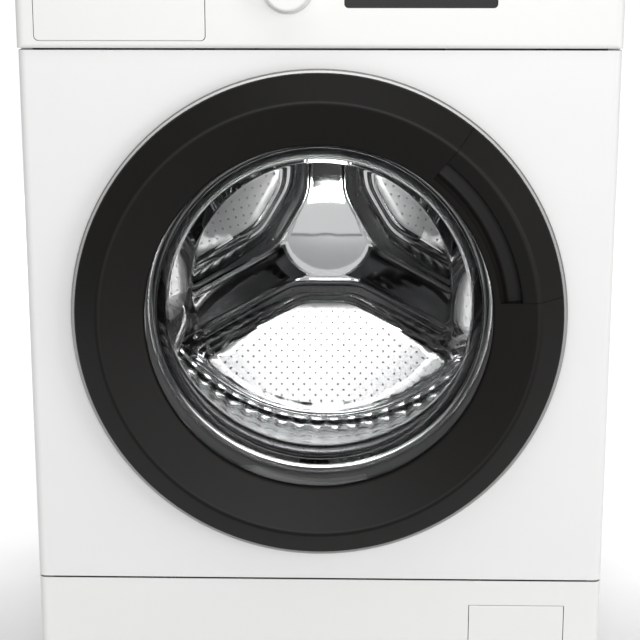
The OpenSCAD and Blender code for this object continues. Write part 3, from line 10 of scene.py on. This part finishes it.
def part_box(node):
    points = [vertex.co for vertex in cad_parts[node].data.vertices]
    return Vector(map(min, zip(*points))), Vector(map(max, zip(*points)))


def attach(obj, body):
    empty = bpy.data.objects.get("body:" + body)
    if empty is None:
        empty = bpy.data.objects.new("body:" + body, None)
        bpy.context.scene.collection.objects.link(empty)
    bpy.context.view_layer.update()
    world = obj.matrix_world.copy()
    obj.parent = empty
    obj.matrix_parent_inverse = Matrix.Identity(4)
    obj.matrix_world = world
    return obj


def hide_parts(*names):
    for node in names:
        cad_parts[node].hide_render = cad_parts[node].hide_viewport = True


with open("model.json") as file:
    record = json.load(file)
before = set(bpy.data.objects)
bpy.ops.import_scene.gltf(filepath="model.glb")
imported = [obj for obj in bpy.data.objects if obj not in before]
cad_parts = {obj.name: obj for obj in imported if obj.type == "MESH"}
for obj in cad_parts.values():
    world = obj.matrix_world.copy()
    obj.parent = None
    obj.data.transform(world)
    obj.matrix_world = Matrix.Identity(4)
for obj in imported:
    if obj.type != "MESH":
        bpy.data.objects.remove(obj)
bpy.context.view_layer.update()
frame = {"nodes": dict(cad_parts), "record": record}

scene = bpy.context.scene
nodes = frame["nodes"]

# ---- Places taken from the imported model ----
low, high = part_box("front_panel")
FRONT = low.y                                   # outer face of the front panel
low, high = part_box("door_ring")
DOOR_X, DOOR_Z = (low.x + high.x) / 2, (low.z + high.z) / 2
low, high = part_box("drum_wrap")
DRUM_Z = (low.z + high.z) / 2


# ---- Materials ----
class Tree:
    """A material's nodes, added one after another."""

    def __init__(self, name):
        self.mat = bpy.data.materials.new(name)
        self.mat.use_nodes = True
        self.nt = self.mat.node_tree
        self.nt.nodes.clear()
        self.out = self.nt.nodes.new("ShaderNodeOutputMaterial")
        self.coords = self.nt.nodes.new("ShaderNodeTexCoord").outputs["Object"]

    def add(self, kind):
        return self.nt.nodes.new("ShaderNode" + kind)

    def put(self, n, socket, value):
        s = n.inputs[socket]
        if isinstance(value, bpy.types.NodeSocket):
            self.nt.links.new(value, s)
        else:
            s.default_value = value

    def scaled(self, scale):
        m = self.add("Mapping")
        self.put(m, "Vector", self.coords)
        self.put(m, "Scale", scale if isinstance(scale, tuple) else (scale,) * 3)
        return m.outputs["Vector"]

    def noise(self, scale, detail):
        n = self.add("TexNoise")
        self.put(n, "Vector", self.scaled(scale))
        self.put(n, "Scale", 1.0)
        self.put(n, "Detail", detail)
        self.put(n, "Roughness", 0.55)
        return n.outputs["Fac"]

    def ramp(self, fac, stops):
        r = self.add("ValToRGB")
        self.put(r, "Fac", fac)
        while len(r.color_ramp.elements) < len(stops):
            r.color_ramp.elements.new(0.5)
        for e, (at, color) in zip(r.color_ramp.elements, stops):
            e.position = at
            e.color = (*color, 1)
        return r.outputs["Color"]

    def span(self, fac, a, b, c, d):
        m = self.add("MapRange")
        for key, value in zip(("Value", "From Min", "From Max", "To Min", "To Max"), (fac, a, b, c, d)):
            self.put(m, key, value)
        return m.outputs["Result"]

    def bump(self, height, strength, distance):
        b = self.add("Bump")
        self.put(b, "Height", height)
        self.put(b, "Strength", strength)
        self.put(b, "Distance", distance)
        return b.outputs["Normal"]

    def finish(self, shader):
        self.nt.links.new(shader, self.out.inputs["Surface"])
        return self.mat


def tint(color, k):
    return tuple(min(c * k, 1) for c in color)


def surface(name, color, rough, metal=0.0, vary=0.04, patch=9.0, grain=700.0, grain_depth=0.00003,
            grain_strength=0.25, rough_vary=0.06, spec=0.5, coat=0.0, stretch=(1, 1, 1)):
    """A moulded, painted or metal surface: slow changes of colour, fine grain and uneven gloss."""
    t = Tree(name)
    slow = t.noise(patch, 4)
    fine = t.noise(tuple(grain * s for s in stretch), 2)
    shader = t.add("BsdfPrincipled")
    t.put(shader, "Base Color", t.ramp(slow, [(0.3, tint(color, 1 - vary)), (0.7, tint(color, 1 + vary))]))
    t.put(shader, "Roughness", t.span(fine, 0.3, 0.7, rough - rough_vary, rough + rough_vary))
    t.put(shader, "Normal", t.bump(fine, grain_strength, grain_depth))
    shader.inputs["Metallic"].default_value = metal
    shader.inputs["Specular IOR Level"].default_value = spec
    shader.inputs["Coat Weight"].default_value = coat
    return t.finish(shader.outputs["BSDF"])


def glass(name, color, ior):
    """Clear glass that lets lamps reach what is behind it."""
    t = Tree(name)
    shader = t.add("BsdfPrincipled")
    t.put(shader, "Base Color", t.ramp(t.noise(5.0, 1), [(0.3, tint(color, 0.99)), (0.7, color)]))
    shader.inputs["Roughness"].default_value = 0.0
    shader.inputs["IOR"].default_value = ior
    shader.inputs["Transmission Weight"].default_value = 1.0
    clear = t.add("BsdfTransparent")
    clear.inputs["Color"].default_value = (0.94, 0.95, 0.95, 1)
    path = t.add("LightPath")
    mix = t.add("MixShader")
    t.nt.links.new(path.outputs["Is Shadow Ray"], mix.inputs["Fac"])
    t.nt.links.new(shader.outputs["BSDF"], mix.inputs[1])
    t.nt.links.new(clear.outputs["BSDF"], mix.inputs[2])
    return t.finish(mix.outputs["Shader"])


M = {
    "enamel": surface("white_enamel", (0.86, 0.86, 0.855), 0.42, vary=0.006, grain=900, grain_depth=0.00002,
                      coat=0.1),
    "galvanised": surface("galvanised_sheet", (0.56, 0.57, 0.57), 0.42, metal=0.9, vary=0.12, patch=60,
                          grain=160),
    "worktop": surface("laminated_board", (0.70, 0.70, 0.69), 0.45, vary=0.02, patch=14, grain=1500),
    "plastic": surface("white_plastic", (0.86, 0.86, 0.85), 0.38, vary=0.008, grain=1100),
    "pale": surface("pale_plastic", (0.72, 0.73, 0.72), 0.5, vary=0.03, grain=900),
    "tub": surface("tub_plastic", (0.55, 0.56, 0.56), 0.6, vary=0.07, patch=25, grain=500, grain_depth=0.0001),
    "black": surface("black_plastic", (0.0062, 0.0057, 0.0049), 0.46, vary=0.05, grain=1300,
                     grain_depth=0.00002, spec=0.22),
    "dark": surface("dark_plastic", (0.022, 0.022, 0.022), 0.55, vary=0.08, grain=900),
    "trim": surface("silver_trim", (0.40, 0.40, 0.39), 0.32, metal=0.9, vary=0.03, grain=1200),
    "display": surface("display_glass", (0.010, 0.010, 0.011), 0.08, vary=0.03, grain=900, grain_depth=0.00001,
                       rough_vary=0.02),
    "gasket": surface("seal_rubber", (0.022, 0.022, 0.023), 0.5, vary=0.1, patch=30, grain=500),
    "rubber": surface("black_rubber", (0.018, 0.018, 0.018), 0.65, vary=0.12, patch=40, grain=500,
                      grain_depth=0.0001),
    "zinc": surface("zinc_plate", (0.62, 0.61, 0.58), 0.34, metal=1.0, vary=0.07, patch=45, grain=600),
    "iron": surface("cast_iron", (0.05, 0.05, 0.052), 0.62, vary=0.2, patch=40, grain=320, grain_depth=0.0004,
                    grain_strength=0.6),
    "aluminium": surface("cast_aluminium", (0.60, 0.60, 0.61), 0.45, metal=1.0, vary=0.08, patch=50, grain=420,
                         grain_depth=0.0001),
    "ground": surface("ground_steel", (0.62, 0.62, 0.63), 0.2, metal=1.0, vary=0.03, grain=900,
                      stretch=(1, 0.05, 1)),
    "motor": surface("motor_paint", (0.075, 0.078, 0.085), 0.45, vary=0.06, grain=700),
    "steel": surface("drum_steel", (0.70, 0.70, 0.70), 0.13, metal=1.0, vary=0.02, patch=20, grain=450,
                     grain_depth=0.00001, rough_vary=0.03, stretch=(1, 0.2, 1)),
    "arms": surface("mirror_steel", (0.60, 0.605, 0.61), 0.05, metal=1.0, vary=0.015, patch=12, grain=300,
                    grain_depth=0.000001, grain_strength=0.05, rough_vary=0.01),
    "field": surface("pierced_steel", (0.80, 0.80, 0.80), 0.33, metal=1.0, vary=0.03, patch=60, grain=500,
                     grain_depth=0.00001, rough_vary=0.04),
    "wall": surface("drum_wall_steel", (0.56, 0.57, 0.57), 0.24, metal=1.0, vary=0.03, patch=20, grain=450,
                    grain_depth=0.00001, rough_vary=0.03),
    # the drum's steel painted near-black for its front ring: painted shade, so the rolled edge reads dark
    "mouth": surface("drum_mouth_steel", (0.13, 0.13, 0.135), 0.3, metal=1.0, vary=0.03, patch=20, grain=450,
                     grain_depth=0.00001, rough_vary=0.04),
    "lifter": surface("lifter_plastic", (0.03, 0.03, 0.03), 0.25, vary=0.06, grain=900, grain_depth=0.00001),
    "glass": glass("bowl_glass", (0.985, 0.99, 0.988), 1.035),
    "lip_glass": glass("bowl_lip_glass", (0.95, 0.96, 0.955), 1.38),
}
SLOT_MATERIAL = {
    "white_enamel": "enamel", "galvanised": "galvanised", "zinc": "zinc", "stainless": "steel",
    "worktop_board": "worktop", "white_plastic": "plastic", "pale_plastic": "pale", "tub_plastic": "tub",
    "black_plastic": "black", "dark_plastic": "dark", "silver_trim": "trim", "display_glass": "display",
    "bowl_glass": "glass", "seal_rubber": "gasket", "black_rubber": "rubber", "cast_iron": "iron",
    "lifter_plastic": "lifter", "aluminium": "aluminium", "bearing_steel": "ground", "motor_steel": "motor",
}
for part in frame["record"]["subparts"]:
    mesh = nodes[part["node"]].data
    mesh.materials.clear()
    mesh.materials.append(M[SLOT_MATERIAL[part["material_slot"]]])
# the drum's front ring takes that near-black steel, a painted shade on its rolled edge
nodes["drum_front_ring"].data.materials[0] = M["mouth"]

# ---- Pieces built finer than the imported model, in mm about the door's or drum's axis ----
MM = 0.001
SHEET = 0.8                                     # thickness of the drum's steel sheet


def build(name, points, faces, mats, normals=None, kinds=None):
    """A mesh object from numpy points; normals, when given, are the smooth ones of each point."""
    me = bpy.data.meshes.new(name)
    me.from_pydata([tuple(p) for p in points], [], [tuple(int(i) for i in f) for f in faces])
    for m in mats:
        me.materials.append(m)
    if kinds is not None:
        me.polygons.foreach_set("material_index", np.asarray(kinds, dtype=np.int32))
    me.polygons.foreach_set("use_smooth", np.ones(len(me.polygons), dtype=bool))
    me.update()
    if normals is not None:
        me.normals_split_custom_set_from_vertices([tuple(n) for n in normals])
    ob = bpy.data.objects.new(name, me)
    scene.collection.objects.link(ob)
    return ob


def smooth_curve(knots, at):
    """Smooth curve through the knots (x, y), without overshoot."""
    x, y = np.array([k[0] for k in knots], float), np.array([k[1] for k in knots], float)
    h, d = np.diff(x), np.diff(y) / np.diff(x)
    m = np.zeros(len(x))
    m[0], m[-1] = d[0], d[-1]
    for i in range(1, len(x) - 1):
        if d[i - 1] * d[i] > 0:
            a, b = 2 * h[i] + h[i - 1], h[i] + 2 * h[i - 1]
            m[i] = (a + b) / (a / d[i - 1] + b / d[i])
    at = np.clip(np.asarray(at, float), x[0], x[-1])
    i = np.clip(np.searchsorted(x, at, side="right") - 1, 0, len(x) - 2)
    t = (at - x[i]) / h[i]
    return ((1 + 2 * t) * (1 - t) ** 2 * y[i] + t * (1 - t) ** 2 * h[i] * m[i]
            + t * t * (3 - 2 * t) * y[i + 1] + t * t * (t - 1) * h[i] * m[i + 1])


LOBES = [math.radians(a) for a in (30, 150, 270)]   # where the pressed lobes point, seen from the front
ARMS = 408.0 * MM                               # depth of the arms behind the front panel
PLATE_RADIUS = 242.3
LOBE_CENTRE = 135.0                             # from the axis to the middle of a lobe
FIELD_INSET = 37                                # the pierced field starts this far inside a lobe's outline
HOLE, HOLE_PITCH = 1.35, 7.3                    # a hole's radius, and half the spacing along a row
# height over the inset from a lobe's outline: arm's shoulder, wall, bead, field
EDGE = [(-12, 0), (-7, 0), (-3, 0.25), (-1, 0.9), (0, 1.1), (1, 0.8), (2.5, -0.6), (4.5, -3), (8, -8),
        (12, -12), (16, -14.6), (20, -16), (23, -16.4), (25, -15.6), (26.5, -14.9), (28, -15.2), (30, -16.6),
        (33, -18), (36, -18.4), (200, -18.4)]
# height of the arms and the hub over the distance from the axis
DOME = [(0, 20.4), (12, 20.25), (25, 19.75), (50, 17.8), (65, 15.5), (75, 13.7), (100, 9.5), (130, 5.6),
        (160, 2.9), (190, 1.3), (236, 0.3), (245, 0.2)]


def lobe_inset(u, v, turn):
    """How far a point lies inside a pressed lobe's outline, in mm."""
    p, q = u * math.cos(turn) + v * math.sin(turn), -u * math.sin(turn) + v * math.cos(turn)
    rim, shoulder = (np.hypot(u, v) - 234) * 4, np.hypot(p - 163, q) - 192
    arms = [23 - (p * math.sin(math.radians(60)) + side * q * 0.5) for side in (-1, 1)]
    apex = 50 - p
    sides = np.stack([rim, shoulder, *arms, apex])
    soft = 3.2                                  # rounds the outline's corners
    top = sides.max(axis=0)
    return -(top + soft * np.log(np.exp((sides - top) / soft).sum(axis=0)))


def inset(u, v):
    """How far a point lies inside the nearest lobe, in mm; below 0 on the arms."""
    return np.max([lobe_inset(u, v, a) for a in LOBES], axis=0)


def plate_height(u, v):
    """How far the plate stands towards the door from the arms' plane, in mm."""
    s = inset(u, v)
    t = np.clip(s / 34, 0, 1)
    r = np.hypot(u, v)
    base = smooth_curve(DOME, r) * (1 - t * t * (3 - 2 * t))
    rim = -np.clip(r - 238.5, 0, 4) ** 2 * 0.35
    tilt = np.clip((s - 26) / 14, 0, 1) * np.where(v < 0, 0.11 * (r - 118), -0.12 * (r - 135))
    return base + smooth_curve(EDGE, s) + rim + tilt


def drum_back_plate():
    """The drum's rear wall: smooth arms round the hub and three pressed lobes, each pierced."""
    pts, edges, holes = [], [], []

    def loop(points):
        first = len(pts)
        pts.extend(points)
        n = len(points)
        edges.extend((first + i, first + (i + 1) % n) for i in range(n))

    steps = 150
    levels = [-7, -4, -2.2, -1, 0, 1, 2.2, 3.6, 5.5, 8, 10.5, 13, 16, 19, 21.5, 23.5, 25, 26.5, 28, 29.5, 31.5,
              34, FIELD_INSET]
    for turn in LOBES:
        c, s = math.cos(turn), math.sin(turn)
        angles = 2 * math.pi * np.arange(steps) / steps
        for level in levels:
            near, far = np.zeros(steps), np.full(steps, 200.0)
            for _ in range(40):
                mid = (near + far) / 2
                p, q = LOBE_CENTRE + mid * np.cos(angles), mid * np.sin(angles)
                inside = lobe_inset(p * c - q * s, p * s + q * c, turn) > level
                near, far = np.where(inside, mid, near), np.where(inside, far, mid)
            p, q = LOBE_CENTRE + near * np.cos(angles), near * np.sin(angles)
            loop(list(zip(p * c - q * s, p * s + q * c)))
        for row in range(-30, 31):
            for col in range(-20, 21):
                q, p = (col + (row % 2) / 2) * 2 * HOLE_PITCH, LOBE_CENTRE + row * HOLE_PITCH
                u, v = p * c - q * s, p * s + q * c
                deep = lobe_inset(np.array([u]), np.array([v]), turn)[0]
                if deep > FIELD_INSET + 6:
                    holes.append((u, v))
                    loop([(u + HOLE * math.cos(a), v + HOLE * math.sin(a))
                          for a in 2 * math.pi * np.arange(10) / 10])
                    pts.append((u + HOLE_PITCH * math.cos(turn + math.pi / 2),
                                v + HOLE_PITCH * math.sin(turn + math.pi / 2)))
    for r in (PLATE_RADIUS, 241.2, 239.8, 238.3):
        loop([(r * math.cos(a), r * math.sin(a)) for a in 2 * math.pi * np.arange(240) / 240])
    for r in range(4, 236, 6):
        n = max(6, int(r * 2 * math.pi / 6))
        for a in 2 * math.pi * np.arange(n) / n:
            u, v = r * math.cos(a), r * math.sin(a)
            if inset(np.array([u]), np.array([v]))[0] < -8.5:
                pts.append((u, v))
    out = delaunay_2d_cdt([Vector(p) for p in pts], edges, [], 0, 1e-5)
    flat = np.array([tuple(p) for p in out[0]])
    tris = np.array([tuple(f) for f in out[2]])
    mid = flat[tris].mean(axis=1)
    keep = np.hypot(mid[:, 0], mid[:, 1]) < PLATE_RADIUS
    keep &= ~((np.abs(mid[:, 0]) < 1e-9) & (np.abs(mid[:, 1]) < 1e-9))
    centres = np.array(holes)
    for k in range(0, len(mid), 4000):
        gap = mid[k:k + 4000, None] - centres[None]
        keep[k:k + 4000] &= np.hypot(gap[..., 0], gap[..., 1]).min(axis=1) > HOLE * 0.93
    tris = tris[keep]
    used = np.unique(tris)
    renum = -np.ones(len(flat), int)
    renum[used] = np.arange(len(used))
    flat, tris = flat[used], renum[tris]
    a, b, c = flat[tris[:, 0]], flat[tris[:, 1]], flat[tris[:, 2]]
    area = (b[:, 0] - a[:, 0]) * (c[:, 1] - a[:, 1]) - (b[:, 1] - a[:, 1]) * (c[:, 0] - a[:, 0])
    tris[area < 0] = tris[area < 0][:, ::-1]
    u, v = flat[:, 0], flat[:, 1]
    w = plate_height(u, v)
    e = 0.05
    gu = (plate_height(u + e, v) - plate_height(u - e, v)) / (2 * e)
    gv = (plate_height(u, v + e) - plate_height(u, v - e)) / (2 * e)
    n = np.stack([-gu, -np.ones(len(u)), -gv], axis=1)
    n /= np.linalg.norm(n, axis=1)[:, None]
    front = np.stack([u * MM, FRONT + ARMS - w * MM, DRUM_Z + v * MM], axis=1)
    back = front - n * SHEET * MM
    count = len(u)
    # seen from the front, u x v turns towards the viewer, so the front faces keep their order
    faces = [tuple(t) for t in tris]
    mid = flat[tris].mean(axis=1)
    kinds = [1 if k > FIELD_INSET else 0 for k in inset(mid[:, 0], mid[:, 1])]
    faces += [(t[2] + count, t[1] + count, t[0] + count) for t in tris]
    kinds += kinds
    sides = {(t[i], t[(i + 1) % 3]): True for t in tris for i in range(3)}
    for i, j in sides:
        if (j, i) not in sides:
            faces.append((j, i, i + count, j + count))
            kinds.append(0)
    return build("drum_back_plate", np.concatenate([front, back]), faces, [M["arms"], M["field"]],
                 np.concatenate([n, -n]), kinds)


def drum_wall():
    """The drum's wall, pressed into small pillows."""
    around, pitch = 66, 26.0                    # pillows round the drum, and their length
    radius, front, rear = 243.0, 90.0, 424.0
    columns, rows = ((around * 8, 130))
    a = 2 * math.pi * np.arange(columns) / columns
    d = front + (rear - front) * np.arange(rows + 1) / rows
    aa, dd = np.meshgrid(a, d)
    across, along = 0.5 - 0.5 * np.cos(around * aa), 0.5 - 0.5 * np.cos(2 * math.pi * (dd - front) / pitch)
    rr = radius - across * (1.1 + 1.3 * along)
    pts = []
    for r in (rr, rr + SHEET):
        ring = np.stack([r * np.cos(aa) * MM, FRONT + dd * MM, DRUM_Z + r * np.sin(aa) * MM], axis=2)
        pts.append(ring.reshape(-1, 3))
    count = len(pts[0])
    faces = []
    for j in range(rows):
        for i in range(columns):
            k = (i + 1) % columns
            q = (j * columns + i, j * columns + k, (j + 1) * columns + k, (j + 1) * columns + i)
            faces.append(q)
            faces.append(tuple(n + count for n in reversed(q)))
    for i in range(columns):
        k = (i + 1) % columns
        faces.append((k, i, i + count, k + count))
        m = rows * columns
        faces.append((m + i, m + k, m + k + count, m + i + count))
    return build("drum_wall", np.concatenate(pts), faces, [M["wall"]])


def glass_bowl():
    """The porthole's bowl, turned round the door's axis, with a slanted rear face."""
    turns = 240
    depth, rim, wall_thick = 125, 163, 4.6      # of the bowl; rim is its radius where the lip ends
    k, t = 17 / 105, math.tan(math.radians(11))  # slope of its cone, and slant of its rear face
    outer_lip = [(192, 9.3), (182, 9.3), (180, 8.6), (178, 7.4), (174.5, 4.2), (171, 1), (168.4, -3.2),
                 (166.4, -7.6), (165, -11.5), (163.9, -15.8), (163, -20)]
    inner_lip = [(192, 13.6), (184, 13.6), (182, 13.2), (180, 12.0), (177, 9.0), (173.6, 5.2), (170.4, 1.4),
                 (167.0, -3), (163.8, -8.4), (161.0, -14), (159.2, -19)]

    def section(phi, lip, shift, fillet):
        sine = math.sin(phi)
        rise = wall_thick * shift
        # where the cone meets the slanted face
        r1 = (rim - rise + (-depth + rise + 20) * k) / (1 - k * t * sine)
        h1 = -depth + rise + r1 * sine * t
        wall = np.array([k, 1.0]) / math.hypot(k, 1)
        face = np.array([-1.0, -sine * t]) / math.hypot(1, t * sine)
        corner = np.array([r1, h1])
        half = math.acos(max(-1, min(1, float(wall @ face)))) / 2
        back = fillet / math.tan(half)
        a, b = corner + wall * back, corner + face * back
        mid = (wall + face) / np.linalg.norm(wall + face)
        centre = corner + mid * fillet / math.sin(half)
        va, vb = (a - centre) / fillet, (b - centre) / fillet
        sweep = math.acos(max(-1, min(1, float(va @ vb))))
        arc = [centre + fillet * (math.sin((1 - x) * sweep) * va + math.sin(x * sweep) * vb) / math.sin(sweep)
               for x in np.linspace(0, 1, 9)]
        start = np.array(lip[-1], float)
        wall_points = [start + (a - start) * x for x in np.linspace(0, 1, 9)[1:-1]]
        face_points = [b + (np.array([0, -depth + rise]) - b) * x for x in np.linspace(0, 1, 12)[1:-1]]
        return [np.array(p, float) for p in lip] + wall_points + arc + face_points

    rings, tips = [], []
    for lip, shift, fillet in ((outer_lip, 0, 6.5), (inner_lip, 1, 3.0)):
        rows = [section(2 * math.pi * i / turns, lip, shift, fillet) for i in range(turns)]
        n = len(rows[0])
        pts = np.array([[(r * math.cos(2 * math.pi * i / turns), h, r * math.sin(2 * math.pi * i / turns))
                         for r, h in row] for i, row in enumerate(rows)])
        rings.append((pts.reshape(-1, 3), n))
        tips.append((0.0, -depth + wall_thick * shift, 0.0))
    points = np.concatenate([rings[0][0], rings[1][0], np.array(tips)])
    first = len(rings[0][0])
    tip = first + len(rings[1][0])
    faces = []
    for which, (start, n) in enumerate(((0, rings[0][1]), (first, rings[1][1]))):
        for i in range(turns):
            j = (i + 1) % turns
            for s in range(n - 1):
                q = (start + i * n + s, start + j * n + s, start + j * n + s + 1, start + i * n + s + 1)
                faces.append(q if which == 0 else tuple(reversed(q)))
            q = (start + i * n + n - 1, start + j * n + n - 1, tip + which)
            faces.append(q if which == 0 else tuple(reversed(q)))
    n0, n1 = rings[0][1], rings[1][1]
    for i in range(turns):
        j = (i + 1) % turns
        faces.append((j * n0, i * n0, first + i * n1, first + j * n1))
    world = np.stack([DOOR_X + points[:, 0] * MM, FRONT - points[:, 1] * MM, DOOR_Z + points[:, 2] * MM],
                     axis=1)
    # the lip, down to 21 mm behind the front, has a glass of its own
    kinds = [1 if max(abs(points[f[0]][1]), abs(points[f[1]][1])) < 21 else 0 for f in faces]
    return build("bowl", world, faces, [M["glass"], M["lip_glass"]], kinds=kinds)


plate = drum_back_plate()
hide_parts("drum_back")
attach(plate, "drum")
wall = drum_wall()
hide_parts("drum_wrap")
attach(wall, "drum")


def seal_lip():
    """Soft edge of the door seal, bearing on the bowl."""
    turns, steps, points, faces = 240, 14, [], []
    for i in range(turns):
        a = 2 * math.pi * i / turns
        for j in range(steps):
            b = 2 * math.pi * j / steps
            r, d = 162.0 + 1.5 * math.cos(b) + 0.4 * math.cos(2 * b), 37.0 + 2.4 * math.sin(b)
            points.append((DOOR_X + r * math.cos(a) * MM, FRONT + d * MM, DOOR_Z + r * math.sin(a) * MM))
            n, m = (i + 1) % turns, (j + 1) % steps
            faces.append((i * steps + j, n * steps + j, n * steps + m, i * steps + m))
    return build("seal_lip", points, faces, [M["rubber"]])


lip = seal_lip()
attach(lip, "cabinet")
bowl = glass_bowl()
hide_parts("door_glass")
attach(bowl, "door")


# ---- Stage, light and camera ----
def plane(name, x0, x1, y0, y1, z, mat):
    me = bpy.data.meshes.new(name)
    me.from_pydata([(x0, y0, z), (x1, y0, z), (x1, y1, z), (x0, y1, z)], [], [(0, 1, 2, 3)])
    ob = bpy.data.objects.new(name, me)
    scene.collection.objects.link(ob)
    me.materials.append(mat)


def softbox(name, place, target, width, height, power):
    """A rectangular area light of width by height metres, facing target."""
    lamp = bpy.data.lights.new(name, "AREA")
    lamp.shape = "RECTANGLE"
    lamp.size, lamp.size_y = width, height
    lamp.energy = power
    ob = bpy.data.objects.new(name, lamp)
    scene.collection.objects.link(ob)
    ob.location = place
    ob.rotation_euler = (Vector(target) - Vector(place)).to_track_quat("-Z", "Y").to_euler()


def floor_paper():
    """Pale paper, greyer in front of the machine, where it would light the door from below."""
    t = Tree("floor_paper")
    away = t.add("SeparateXYZ")
    t.put(away, "Vector", t.coords)
    pale = t.ramp(t.span(away.outputs["Y"], -0.6, 0.1, 0, 1), [(0, (0.50,) * 3), (1, (0.86,) * 3)])
    shader = t.add("BsdfPrincipled")
    t.put(shader, "Base Color", pale)
    t.put(shader, "Roughness", t.span(t.noise(300, 2), 0.3, 0.7, 0.86, 0.94))
    shader.inputs["Specular IOR Level"].default_value = 0.1
    return t.finish(shader.outputs["BSDF"])


plane("floor", -6, 6, -2.9, 3.5, -0.0005, floor_paper())
world = bpy.data.worlds.new("studio")
scene.world = world
world.use_nodes = True
nt = world.node_tree
nt.nodes.clear()
out = nt.nodes.new("ShaderNodeOutputWorld")
seen = nt.nodes.new("ShaderNodeBackground")
seen.inputs["Color"].default_value = (1, 1, 1, 1)
seen.inputs["Strength"].default_value = 1.05
lit = nt.nodes.new("ShaderNodeBackground")
lit.inputs["Color"].default_value = (1, 1, 1, 1)
lit.inputs["Strength"].default_value = 0.32
mix = nt.nodes.new("ShaderNodeMixShader")
path = nt.nodes.new("ShaderNodeLightPath")
nt.links.new(path.outputs["Is Camera Ray"], mix.inputs["Fac"])
nt.links.new(lit.outputs["Background"], mix.inputs[1])
nt.links.new(seen.outputs["Background"], mix.inputs[2])
nt.links.new(mix.outputs["Shader"], out.inputs["Surface"])

# name, place, target, width, height, watts
softbox("key", (0.12, -3.6, 1.27), (0, -0.2, 0.5), 1.4, 0.9, 48.5)
softbox("low_fill", (0.1, -3.6, 0.40), (0, -0.2, 0.40), 2.4, 0.88, 4.4)
softbox("top", (0.2, -1.5, 3.1), (0, -0.1, 0.5), 2.6, 1.2, 14)
softbox("side", (2.5, -2.3, 1.2), (0, -0.2, 0.4), 1.2, 1.8, 24)
softbox("back_light", (0, 2.9, 3.0), (0, 2.6, 0), 7.0, 3.6, 230)

camera = bpy.data.objects.new("camera", bpy.data.cameras.new("camera"))
scene.collection.objects.link(camera)
scene.camera = camera
camera.data.sensor_width = 36.0
camera.data.lens = 90.2
AZIMUTH, ELEVATION, DISTANCE = math.radians(1.4), math.radians(12.8), 1.600
door = Vector((DOOR_X, FRONT, DOOR_Z))
reach = DISTANCE / math.cos(ELEVATION)
camera.location = door + reach * Vector((math.sin(AZIMUTH) * math.cos(ELEVATION),
                                         -math.cos(AZIMUTH) * math.cos(ELEVATION), math.sin(ELEVATION)))
aim = door + Vector((0.0012, 0, -0.0038))
camera.rotation_euler = (aim - camera.location).to_track_quat("-Z", "Y").to_euler()
scene.view_settings.view_transform = "Standard"
